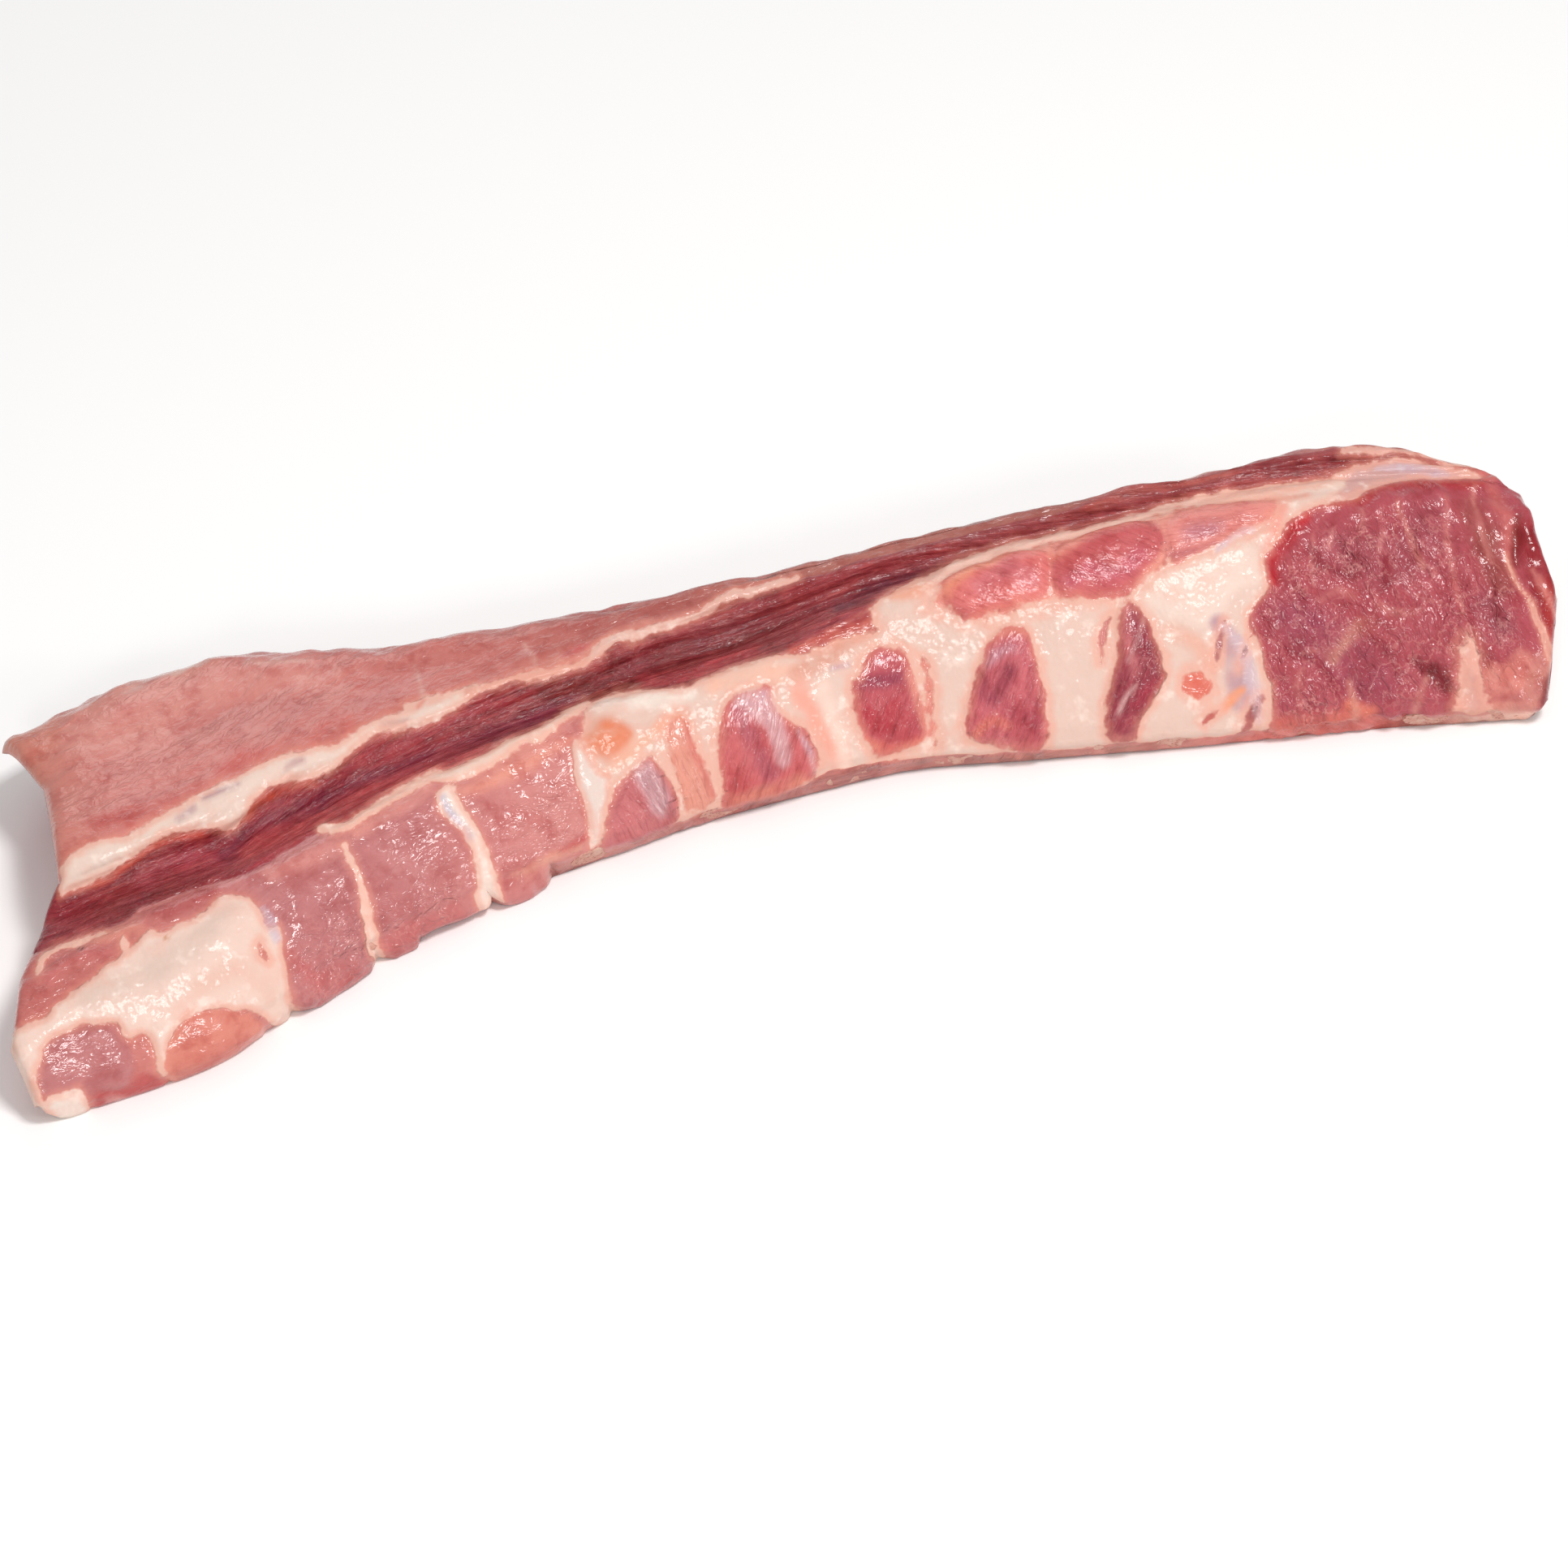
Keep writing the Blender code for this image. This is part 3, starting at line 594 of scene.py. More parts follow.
# %% Tissues of the left end
LEFT_TISSUES = (
    ("tint", "#bd6260", 2, 0, ((45, 1192, 8), (70, 1168, 10), (110, 1152, 8))),
    ("tint", "#b9605f", 1.4, 0.8, ((180, 1128, 6), (205, 1125, 20), (232, 1112, 20),
        (262, 1102, 14))),
    ("tint", "#cd7470", 1.6, 0.4, ((62, 1210, 12), (75, 1188, 14), (100, 1180, 12),
        (128, 1176, 14))),
    ("tint", "#dc8f80", 1.4, 0.8, ((122, 1160, 8), (145, 1152, 16), (172, 1145, 10))),
    ("tint", "#84323c", 0.8, -0.4, ((155, 1116, 5), (172, 1112, 8), (186, 1104, 5))),
    ("fat", "#f0d0c2", 0.7, 1.2, ((35, 1265), (60, 1258), (75, 1235), (120, 1210), (130, 1195),
        (150, 1185), (178, 1155), (200, 1152), (240, 1138), (260, 1125), (270, 1110), (290, 1107),
        (310, 1112), (322, 1150), (342, 1145), (347, 1200), (357, 1235), (368, 1243), (345, 1258),
        (310, 1245), (300, 1240), (240, 1245), (225, 1258), (210, 1275), (205, 1300), (208, 1315),
        (200, 1325), (190, 1290), (182, 1276), (170, 1276), (160, 1285), (150, 1275), (140, 1262),
        (100, 1265), (60, 1280), (48, 1320), (50, 1350), (70, 1372), (20, 1372), (0, 1330),
        (6, 1280))),
    ("fat", "#eec8b9", 0.6, 0.4, ((45, 1205, 3), (55, 1182, 5), (72, 1168, 5), (100, 1160, 5),
        (128, 1150, 3))),
    ("fat", "#f0cdbf", 0.6, 0.4, ((150, 1160, 4), (156, 1180, 6), (140, 1196, 8))),
    ("fat_tint", "#e3c6b8", 3, 0, ((110, 1235, 20), (180, 1205, 30), (250, 1160, 26),
        (290, 1125, 12))),
    ("fat_tint", "#ecc3b3", 3, 0, ((240, 1220, 20), (300, 1190, 26), (330, 1230, 20))),
    ("fat_tint", "#e3b39f", 1.5, 0, ((20, 1290, 10), (16, 1330, 10), (30, 1360, 8))),
    ("muscle", "#c47c7b", 0.6, 0.9, ((58, 1282), (90, 1271), (120, 1264), (140, 1267), (150, 1280),
        (158, 1300), (160, 1320), (150, 1337), (112, 1340), (100, 1346), (60, 1350), (46, 1338),
        (50, 1300))),
    ("muscle", "#d4827a", 0.6, 0.5, ((165, 1282), (180, 1279), (192, 1300), (195, 1318),
        (180, 1326), (168, 1305))),
    ("muscle", "#c6605e", 0.8, 0.5, ((112, 1345), (150, 1338), (172, 1326), (200, 1326),
        (212, 1335), (190, 1355), (140, 1376), (112, 1380))),
    ("tint", "#e2a6a0", 0.8, 0.3, ((130, 1348, 6), (160, 1347, 7))),
    ("muscle", "#e08c7c", 0.9, 0.7, ((206, 1292), (222, 1264), (240, 1249), (300, 1246),
        (318, 1258), (330, 1275), (285, 1305), (245, 1325), (208, 1340), (203, 1318))),
    ("tint", "#d07468", 2, 0, ((225, 1318, 14), (265, 1300, 14), (300, 1282, 10))),
    ("muscle", "#d08a80", 0.8, 0.2, ((311, 1168), (318, 1160), (322, 1172), (330, 1186),
        (325, 1192), (314, 1182))),
    ("veil", "#b4b4d0", 1.2, 0, ((318, 1122, 6), (328, 1140, 16), (338, 1160, 10))),
    ("crease", None, 1, -0.9, ((312, 1240, 3), (330, 1246, 4), (352, 1240, 3))),
    ("tint", "#33201c", 0.3, -0.3, ((101, 1168, 4), (103, 1171, 4))),
    ("fat_tint", "#c98a5e", 0.5, 0, ((202, 1161, 4), (205, 1163, 4))),
    ("fat", "#f7e2d6", 0.7, 0.8, ((55, 1358), (62, 1350), (80, 1347), (96, 1341), (111, 1362),
        (119, 1373), (108, 1384), (70, 1376))),
)
print(len(LEFT_TISSUES), "tissues at the left end")

# %% Tissues of the flat panels
PANEL_TISSUES = (
    ("fat", "#f1cdbd", 0.6, 0.8, ((398, 1022, 10), (424, 1024, 12), (450, 1004, 10), (470, 990, 9),
        (500, 972, 9), (532, 958, 14), (556, 960, 20), (590, 943, 20), (630, 922, 16),
        (660, 912, 12), (690, 886, 12), (722, 868, 12))),
    ("fat", "#f4d7c9", 0.6, 0.5, ((424, 1045, 3), (432, 1065, 4), (440, 1090, 5), (448, 1120, 8),
        (455, 1150, 11), (462, 1176, 13))),
    ("fat_tint", "#e8a593", 1.2, 0, ((456, 1118, 4), (466, 1145, 10), (474, 1168, 10))),
    ("fat", "#f4dacd", 0.6, 0.9, ((537, 986), (545, 974), (558, 972), (570, 1000), (586, 1030),
        (600, 1060), (612, 1086), (612, 1100), (600, 1106), (583, 1114), (585, 1088), (581, 1060),
        (570, 1032), (545, 1010))),
    ("fat_tint", "#c3b9c9", 1, -0.3, ((546, 990, 6), (556, 1012, 10), (572, 1034, 8))),
    ("crease", None, 0.7, -0.8, ((548, 992, 3), (556, 999, 4), (566, 1014, 3), (576, 1035, 2))),
    ("fat", "#ead3c9", 0.6, 0.9, ((702, 912), (714, 918), (735, 948), (757, 955), (750, 972),
        (743, 990), (742, 1020), (739, 1042), (728, 1048), (726, 1012), (718, 980), (709, 948))),
    ("crease", None, 0.9, -0.9, ((700, 905, 3), (708, 950, 3), (718, 985, 3), (727, 1045, 3))),
    ("crease", None, 0.9, -0.8, ((426, 1040, 2), (436, 1085, 3), (446, 1130, 3), (452, 1170, 4))),
    ("crease", None, 0.9, -0.8, ((532, 975, 3), (545, 1012, 3), (568, 1032, 3), (582, 1062, 3),
        (584, 1110, 4))),
    ("crease", None, 0.8, -0.7, ((616, 1040, 2), (622, 1070, 3), (624, 1090, 3))),
    ("tint", "#da9088", 3, 0, ((330, 1078, 14), (380, 1060, 20), (415, 1044, 12))),
    ("tint", "#c07878", 4, 0, ((350, 1120, 18), (400, 1110, 30), (440, 1160, 20))),
    ("tint", "#e2978c", 2, 0, ((436, 1030, 10), (465, 1012, 10), (500, 990, 12), (528, 975, 9))),
    ("tint", "#ca8381", 3, 0, ((470, 1050, 30), (510, 1080, 30))),
    ("tint", "#e89987", 2.5, 0, ((575, 980, 10), (610, 962, 16), (660, 935, 14), (698, 912, 10))),
    ("tint", "#e7a18b", 1.6, 0.6, ((632, 1078, 6), (670, 1062, 9), (712, 1044, 8))),
    ("tint", "#cf7f7c", 2, 0.8, ((612, 1094, 16), (640, 1088, 20), (662, 1078, 10))),
    ("tint", "#c65d5c", 1.4, 0, ((688, 1050, 4), (706, 1040, 8), (722, 1030, 8))),
    ("veil", "#c8b0b4", 0.8, 0, ((650, 1082, 3), (655, 1089, 3))),
    ("tint", "#c8706f", 2.4, 0, ((350, 1175, 10), (385, 1210, 18), (430, 1190, 14))),
    ("tint", "#c8706e", 2, 0, ((470, 1165, 12), (505, 1145, 14), (560, 1118, 10))),
    ("crease", None, 4, 4.4, ((366, 1224, 22), (384, 1222, 34), (420, 1196, 30), (446, 1184, 14))),
    ("crease", None, 3, 3.6, ((478, 1168, 14), (498, 1158, 22), (508, 1148, 14))),
    ("crease", None, 3, 2.6, ((520, 1138, 16), (560, 1118, 22), (592, 1106, 14))),
    ("crease", None, 3, 3.8, ((616, 1098, 16), (640, 1096, 26), (668, 1082, 16))),
    ("crease", None, 2, -4, ((352, 1256, 6), (356, 1238, 5), (352, 1225, 2))),
    ("crease", None, 1.8, -4.2, ((464, 1190, 6), (462, 1176, 5), (458, 1160, 2))),
    ("crease", None, 1.8, -4, ((514, 1168, 6), (512, 1154, 5), (510, 1146, 2))),
    ("crease", None, 1.8, -4.2, ((608, 1120, 6), (604, 1106, 5), (600, 1096, 2))),
    ("crease", None, 1.8, -4, ((686, 1086, 6), (682, 1074, 5), (678, 1066, 2))),
)
print(len(PANEL_TISSUES), "tissues on the flat panels")

# %% Tissues of the pale ribs
RIB_TISSUES = (
    ("fat", "#e8c7b9", 0.8, 0.5, ((722, 872), (735, 862), (775, 852), (850, 850), (890, 828),
        (930, 817), (960, 808), (1000, 800), (1050, 775), (1092, 740), (1120, 722), (1165, 696),
        (1190, 684), (1250, 672), (1340, 650), (1400, 636), (1480, 613), (1600, 600), (1650, 598),
        (1640, 622), (1600, 638), (1566, 665), (1556, 700), (1560, 730), (1536, 765), (1552, 800),
        (1562, 850), (1567, 925), (1400, 935), (1180, 950), (1000, 985), (860, 1030), (740, 1070),
        (738, 1042), (742, 1020), (743, 990), (755, 955), (735, 948), (714, 918))),
    ("fat_tint", "#f5e3d6", 2.5, 0, ((740, 870, 14), (790, 866, 16), (850, 858, 10))),
    ("fat_tint", "#f6bfa9", 3, 0, ((880, 850, 20), (930, 832, 22), (980, 830, 18))),
    ("fat_tint", "#de9e8a", 2.5, 0, ((980, 835, 20), (1030, 800, 30), (1060, 780, 16))),
    ("fat_tint", "#e68a69", 2.4, 1, ((712, 915), (722, 898), (746, 889), (770, 894), (780, 906),
        (774, 924), (755, 942), (724, 926))),
    ("fat_tint", "#f0b49b", 2, 0, ((750, 950, 8), (775, 930, 14), (800, 905, 16), (830, 885, 16))),
    ("muscle", "#cc7678", 0.8, 0.4, ((744, 990), (757, 966), (786, 941), (800, 926), (815, 941),
        (828, 962), (840, 1000), (826, 1030), (790, 1048), (740, 1062), (742, 1020))),
    ("muscle", "#e49a88", 1.6, 0.3, ((812, 900), (835, 872), (848, 885), (860, 920), (872, 955),
        (884, 984), (862, 1000), (842, 998), (834, 960))),
    ("tint", "#f0a380", 2, 0, ((812, 882, 8), (832, 874, 12), (846, 880, 8))),
    ("tint", "#d36f6c", 1.6, 0, ((848, 900, 6), (862, 940, 8), (876, 975, 8))),
    ("muscle", "#d06a6c", 1.2, 0.8, ((884, 976), (880, 940), (882, 902), (892, 872), (905, 858),
        (950, 845), (948, 862), (975, 890), (996, 898), (1008, 935), (1000, 962), (960, 985),
        (885, 1002))),
    ("tint", "#bd646e", 2, 0, ((905, 880, 14), (925, 920, 24), (945, 950, 24))),
    ("veil", "#d6b4b8", 3.6, 0, ((778, 950), (798, 932), (812, 955), (824, 985), (816, 1012),
        (800, 1000), (788, 975))),
    ("veil", "#dfc0c0", 3.6, 0, ((898, 868), (925, 855), (950, 856), (962, 890), (976, 940),
        (960, 950), (945, 905), (920, 884))),
    ("veil", "#d9b6be", 2.4, 0, ((980, 900, 5), (995, 925, 8), (1000, 950, 4))),
    ("tint", "#dd8474", 2, 0, ((900, 985, 12), (950, 975, 16), (985, 960, 12))),
    ("fat_tint", "#f2ab98", 3, 0, ((985, 850, 24), (1010, 900, 20), (1030, 940, 18))),
    ("fat_tint", "#f9d8c9", 2, 0, ((1015, 850, 14), (1030, 900, 14), (1035, 945, 14))),
    ("fat_tint", "#c9a6ab", 1, 0, ((1028, 826, 6), (1042, 822, 6))),
    ("muscle", "#c25a62", 1.3, 1, ((1046, 856), (1054, 830), (1066, 802), (1082, 793), (1116, 797),
        (1124, 820), (1138, 870), (1150, 915), (1110, 928), (1078, 935), (1052, 908))),
    ("tint", "#9e4355", 1.8, -0.3, ((1064, 842, 10), (1080, 838, 18), (1104, 835, 14))),
    ("tint", "#b9404a", 2.2, 0, ((1066, 880, 20), (1086, 895, 26), (1100, 870, 14))),
    ("tint", "#e0776a", 2, 0, ((1060, 915, 12), (1100, 925, 16), (1140, 915, 14))),
    ("tint", "#e29488", 1.8, 0, ((1120, 830, 6), (1136, 870, 9), (1148, 910, 10))),
    ("muscle", "#e08a80", 1.4, 0.1, ((1130, 806), (1142, 806), (1150, 850), (1160, 920),
        (1150, 925), (1138, 870))),
    ("muscle", "#c9666e", 1.2, 1.4, ((1186, 905), (1192, 870), (1206, 815), (1222, 785),
        (1240, 768), (1268, 770), (1278, 812), (1290, 870), (1292, 925), (1240, 926), (1200, 915))),
    ("tint", "#dd8478", 1.8, 0, ((1232, 782, 8), (1250, 776, 12), (1270, 782, 8))),
    ("tint", "#c995a0", 2.4, 0, ((1216, 822, 6), (1228, 808, 12), (1244, 804, 8))),
    ("tint", "#a14a58", 1.8, 0, ((1208, 840, 14), (1222, 870, 16), (1240, 830, 14))),
    ("tint", "#d87468", 1.6, 0, ((1205, 905, 8), (1222, 885, 12), (1238, 895, 8))),
    ("tint", "#b4505c", 2, 0, ((1250, 880, 18), (1272, 895, 20), (1280, 860, 10))),
    ("muscle", "#9b434f", 1, 1.8, ((1360, 912), (1356, 880), (1366, 835), (1374, 795), (1376, 755),
        (1384, 738), (1402, 748), (1420, 772), (1432, 800), (1438, 838), (1424, 862), (1406, 890),
        (1398, 915))),
    # painted highlight: a lighter band down the upper left of this bulging muscle, where light falls
    # on its swell
    ("tint", "#d07a7c", 2, 0, ((1384, 748, 8), (1388, 790, 12), (1396, 830, 8))),
    ("crease", None, 0.8, -1, ((1394, 860, 3), (1402, 847, 4), (1420, 828, 4), (1432, 806, 2))),
    ("tint", "#a8404e", 1.2, 0, ((1398, 870, 10), (1412, 852, 12), (1430, 838, 8))),
    # painted highlights: thin pale streaks down the left side of the bulging muscle
    ("tint", "#dcb0ac", 1, 0.1, ((1374, 884, 2), (1386, 862, 4), (1398, 846, 2))),
    ("tint", "#cf9a9a", 1, 0.1, ((1388, 815, 2), (1398, 795, 3), (1410, 765, 2))),
    ("muscle", "#c77478", 1, 0.1, ((1350, 818), (1346, 800), (1356, 772), (1372, 752), (1362, 790),
        (1352, 820))),
)
print(len(RIB_TISSUES), "tissues on the pale ribs")

# %% Tissues of the upper muscles and the loin
LOIN_OUTLINE = ((1642, 622), (1600, 638), (1580, 650), (1566, 670), (1554, 690), (1561, 730),
                (1541, 755), (1534, 765), (1551, 800), (1561, 850), (1562, 925), (1960, 925),
                (1960, 560), (1830, 588), (1780, 590), (1730, 596), (1690, 605), (1660, 616))
LOIN_TISSUES = (
    ("muscle", "#a4434a", 1, 0.2, ((980, 792), (1010, 780), (1050, 758), (1078, 750), (1072, 768),
        (1085, 778), (1040, 790), (1000, 806), (960, 808))),
    ("tint", "#c95a50", 1.2, 0, ((975, 800, 8), (1020, 788, 8), (1065, 772, 7))),
    ("fat_tint", "#f0a184", 2, 0, ((1100, 738, 10), (1120, 735, 22), (1140, 725, 12))),
    ("fat_tint", "#d5c9cc", 1, 0.3, ((1052, 738, 6), (1072, 730, 12), (1092, 724, 10),
        (1118, 720, 5))),
    ("muscle", "#e89a8c", 2.6, 0.5, ((1140, 750), (1160, 712), (1250, 680), (1350, 655),
        (1440, 630), (1566, 611), (1578, 622), (1560, 650), (1450, 690), (1400, 728), (1296, 742),
        (1200, 768), (1165, 752))),
    ("muscle", "#e27c78", 1.2, 1.2, ((1160, 735), (1152, 720), (1180, 702), (1215, 688),
        (1250, 679), (1288, 680), (1292, 700), (1284, 738), (1230, 752), (1195, 772), (1165, 752))),
    ("tint", "#ec9479", 2, 0, ((1165, 728, 12), (1195, 706, 14), (1240, 686, 8))),
    ("tint", "#d87c82", 2, 0, ((1205, 730, 14), (1240, 710, 20), (1270, 715, 16))),
    ("tint", "#c0555c", 1.5, 0, ((1172, 748, 10), (1188, 760, 12))),
    ("muscle", "#cd6668", 1.2, 1.4, ((1298, 700), (1304, 676), (1350, 655), (1400, 640),
        (1424, 655), (1440, 680), (1436, 695), (1400, 728), (1384, 742), (1340, 742), (1312, 745),
        (1294, 722))),
    ("tint", "#c96370", 2, 0, ((1310, 722, 14), (1340, 705, 18), (1370, 716, 16), (1400, 690, 18))),
    ("tint", "#e68879", 2, 0, ((1300, 690, 12), (1330, 668, 14), (1385, 650, 14))),
    ("tint", "#f0a293", 1.2, 0, ((1400, 725, 6), (1425, 700, 8), (1436, 680, 6))),
    ("muscle", "#e79088", 1.4, 0.8, ((1436, 672), (1442, 640), (1470, 625), (1530, 616),
        (1570, 618), (1560, 645), (1535, 665), (1480, 684), (1450, 700), (1438, 690))),
    ("tint", "#b25c6c", 1.2, 0, ((1442, 690, 10), (1470, 684, 10), (1500, 674, 8))),
    ("tint", "#c88088", 2, 0, ((1460, 665, 12), (1500, 655, 14))),
    ("veil", "#dcd0da", 1, 0, ((1500, 680, 6), (1525, 665, 10), (1545, 655, 6))),
    ("fat_tint", "#f6e3d6", 1.2, 0.4, ((1168, 700, 8), (1210, 682, 8), (1290, 666, 8),
        (1340, 648, 8), (1400, 633, 9), (1440, 624, 10), (1500, 611, 12), (1560, 604, 14),
        (1640, 598, 14))),
    ("fat_tint", "#e7a08e", 1.4, 0, ((1500, 622, 6), (1560, 616, 9), (1610, 614, 8))),
    ("fat_tint", "#f1d6c8", 2, 0.6, ((1412, 725), (1440, 702), (1480, 688), (1535, 668),
        (1550, 700), (1555, 715), (1518, 733), (1500, 772), (1470, 773), (1430, 764), (1400, 741))),
    ("fat_tint", "#ee9488", 2, 0, ((1565, 640, 14), (1580, 625, 12), (1560, 680, 10))),
    ("fat_tint", "#eab5a2", 2, 0, ((1440, 780, 14), (1470, 795, 24), (1490, 820, 16))),
    ("muscle", "#dd6656", 1.4, 0.3, ((1456, 832), (1480, 824), (1496, 845), (1480, 867),
        (1458, 852))),
    ("fat_tint", "#c49ca2", 1.4, 0, ((1500, 770, 16), (1520, 800, 30), (1530, 860, 34))),
    ("muscle", "#96606f", 0.8, 0, ((1493, 830, 4), (1500, 800, 9), (1508, 770, 5))),
    ("muscle", "#9a5a68", 0.8, 0, ((1524, 825, 4), (1532, 805, 8), (1540, 790, 4))),
    ("fat_tint", "#f0a07c", 1.2, 0, ((1508, 872, 8), (1520, 858, 14), (1532, 850, 8))),
    ("muscle", "#b03f46", 1, 0, ((1484, 886, 8), (1494, 878, 14), (1504, 872, 6))),
    ("muscle", "#8e3f4c", 1.2, 0, ((1530, 908, 10), (1542, 885, 18), (1552, 862, 10))),
    ("veil", "#cdb6c2", 1.2, 0.6, ((1508, 775, 8), (1530, 800, 18), (1545, 850, 16),
        (1550, 890, 8))),
    ("fat", "#eccabb", 0.5, 0.5, ((1470, 616, 3), (1530, 607, 7), (1600, 599, 10), (1650, 597, 8))),
    ("muscle", "#b4545d", 0.7, 1.8, LOIN_OUTLINE),
    ("tint", "#c2323a", 1.5, 0, ((1568, 720, 10), (1564, 690, 14), (1588, 660, 16),
        (1612, 642, 8))),
    ("tint", "#ad3539", 1.4, 0, ((1620, 628, 6), (1680, 615, 12), (1720, 606, 12), (1790, 598, 8),
        (1830, 597, 5))),
    ("tint", "#a64e5e", 5, 0, ((1590, 760, 40), (1640, 800, 60), (1690, 840, 50))),
    ("tint", "#a9525c", 5, 0, ((1650, 680, 40), (1720, 700, 50), (1760, 650, 50))),
    ("tint", "#a0524e", 4, 0, ((1815, 630, 30), (1835, 670, 36), (1850, 720, 30))),
    ("tint", "#a2505a", 3, 0, ((1830, 745, 30), (1850, 775, 26))),
    # painted shade: these dark tints lie in creases that also sink, and their dark colour is painted
    # shade in the folds of the loin
    ("tint", "#802433", 1.6, -0.6, ((1745, 812, 8), (1768, 832, 24), (1780, 850, 10))),
    ("tint", "#84202b", 1.2, -1, ((1868, 640, 6), (1866, 655, 16), (1870, 690, 9))),
    ("tint", "#8e2f3a", 1.2, -0.4, ((1704, 690, 10), (1712, 712, 14), (1700, 730, 6))),
    ("tint", "#972a33", 2.4, 0, ((1880, 650, 12), (1892, 690, 30), (1908, 760, 22))),
    ("tint", "#b03b38", 2, 0, ((1898, 720, 10), (1908, 745, 16), (1912, 780, 8))),
    ("tint", "#dd7766", 2.6, 0, ((1575, 895, 16), (1630, 890, 16), (1690, 880, 12))),
    ("tint", "#e6806a", 2, 0, ((1662, 868, 14), (1690, 876, 10))),
    ("tint", "#c87a76", 3, 0, ((1640, 806, 14), (1662, 785, 16), (1690, 768, 10))),
    ("tint", "#e28f82", 2, 0, ((1835, 830, 20), (1855, 842, 40), (1878, 815, 24))),
    ("fat", "#dfa99e", 1.8, 0.3, ((1799, 800), (1806, 782), (1813, 808), (1822, 842), (1834, 884),
        (1790, 888), (1799, 850))),
    ("fat_tint", "#c98a86", 1.4, 0, ((1815, 835, 5), (1822, 862, 9), (1826, 880, 8))),
    ("fat", "#cf8d83", 0.2, 0.2, ((1858, 680, 1), (1869, 718, 2), (1885, 742, 5), (1900, 775, 6),
        (1912, 812, 10))),
    ("tint", "#e08a80", 0.6, 0, ((1888, 700, 3), (1902, 735, 5), (1916, 760, 4))),
    ("tint", "#d88a88", 0.8, 0, ((1620, 660, 3), (1615, 690, 4), (1620, 722, 3))),
    ("tint", "#d68886", 0.8, 0, ((1642, 655, 3), (1637, 676, 4))),
    ("tint", "#d98c88", 0.8, 0, ((1676, 628, 3), (1678, 655, 4))),
    ("tint", "#d68886", 0.8, 0, ((1701, 660, 3), (1695, 684, 4))),
    ("tint", "#d69080", 2.2, 0, ((1676, 766, 4), (1660, 790, 8), (1641, 818, 4))),
    ("tint", "#da9484", 2, 0.3, ((1662, 840, 3), (1669, 862, 7), (1674, 884, 10))),
    ("tint", "#cf7f7a", 1.6, 0, ((1625, 802, 4), (1610, 806, 4))),
    ("tint", "#cf7f7a", 1.6, 0, ((1600, 830, 3), (1592, 850, 4), (1598, 872, 3))),
    ("tint", "#d8887f", 0.8, 0, ((1722, 630, 3), (1736, 662, 4), (1752, 700, 3))),
    ("tint", "#d07a78", 1.2, 0, ((1782, 618, 4), (1786, 700, 6), (1800, 755, 5))),
    ("tint", "#d4837c", 0.8, 0, ((1815, 600, 3), (1822, 640, 4), (1838, 690, 3))),
    ("tint", "#cc6e6a", 1.6, 0, ((1838, 600, 10), (1856, 640, 12), (1858, 680, 6))),
    ("tint", "#da9485", 2, 0.4, ((1840, 872, 12), (1880, 868, 22), (1900, 820, 26),
        (1912, 806, 12))),
    ("tint", "#d68c84", 1.2, 0.4, ((1745, 878, 8), (1750, 856, 6), (1757, 835, 3))),
    ("tint", "#cd7b78", 1.6, 0.4, ((1625, 740, 3), (1650, 726, 6), (1668, 735, 3))),
    ("tint", "#cd7b78", 1.6, 0.4, ((1700, 745, 3), (1724, 760, 6), (1750, 752, 3))),
    # painted shade: these dark tints lie in creases that also sink, and their dark colour is painted
    # shade in the folds of the loin
    ("tint", "#8f3540", 2, -0.5, ((1610, 676, 5), (1632, 700, 9), (1660, 705, 6))),
    ("tint", "#8f3540", 2, -0.5, ((1585, 800, 5), (1622, 815, 9), (1640, 845, 5))),
    ("tint", "#8f3540", 2, -0.5, ((1690, 790, 5), (1712, 800, 9), (1722, 830, 5))),
    ("tint", "#7c2731", 1, -0.8, ((1899, 858, 10), (1904, 840, 10), (1908, 832, 4))),
    ("tint", "#9c4247", 1.2, 0, ((1898, 876, 10), (1908, 850, 10))),
    ("fat", "#cf9f90", 0.7, 0, ((1760, 890, 3), (1800, 883, 8), (1850, 884, 10), (1900, 882, 8))),
    ("crease", None, 1.4, -1.2, ((1786, 640, 3), (1790, 700, 5), (1806, 760, 6), (1822, 800, 6),
        (1826, 870, 4))),
    ("crease", None, 1.4, -1.2, ((1818, 640, 3), (1828, 690, 5), (1838, 740, 5), (1850, 800, 4))),
    ("crease", None, 1.2, 1.4, ((1797, 640, 4), (1806, 700, 6), (1822, 760, 7), (1836, 830, 5))),
    ("crease", None, 1.2, -1.1, ((1690, 690, 5), (1712, 712, 8), (1706, 742, 5))),
    ("crease", None, 1.2, -1, ((1640, 770, 4), (1680, 752, 6), (1720, 760, 4))),
    ("crease", None, 1.2, -0.9, ((1600, 700, 3), (1606, 760, 5), (1590, 820, 4))),
    ("crease", None, 1.2, -0.9, ((1720, 790, 4), (1745, 815, 6), (1740, 850, 4))),
    ("crease", None, 2, -1.2, ((1870, 640, 5), (1868, 700, 6), (1890, 760, 4))),
    ("crease", None, 2.2, -1.2, ((1782, 700, 4), (1775, 760, 7), (1790, 815, 6))),
    ("crease", None, 1.6, -1.3, ((1548, 905, 4), (1552, 850, 4), (1542, 790, 4), (1540, 765, 4),
        (1560, 730, 4), (1556, 695, 4))),
)
print(len(LOIN_TISSUES), "tissues on the loin and above the ribs")


# %% Paint the drawn tissues
def drawn_depth(shape):
    """Depth inside an outline of pairs or a stroke of triples."""
    return near_stroke(spots, shape) if len(shape[0]) == 3 else inside(spots, shape)


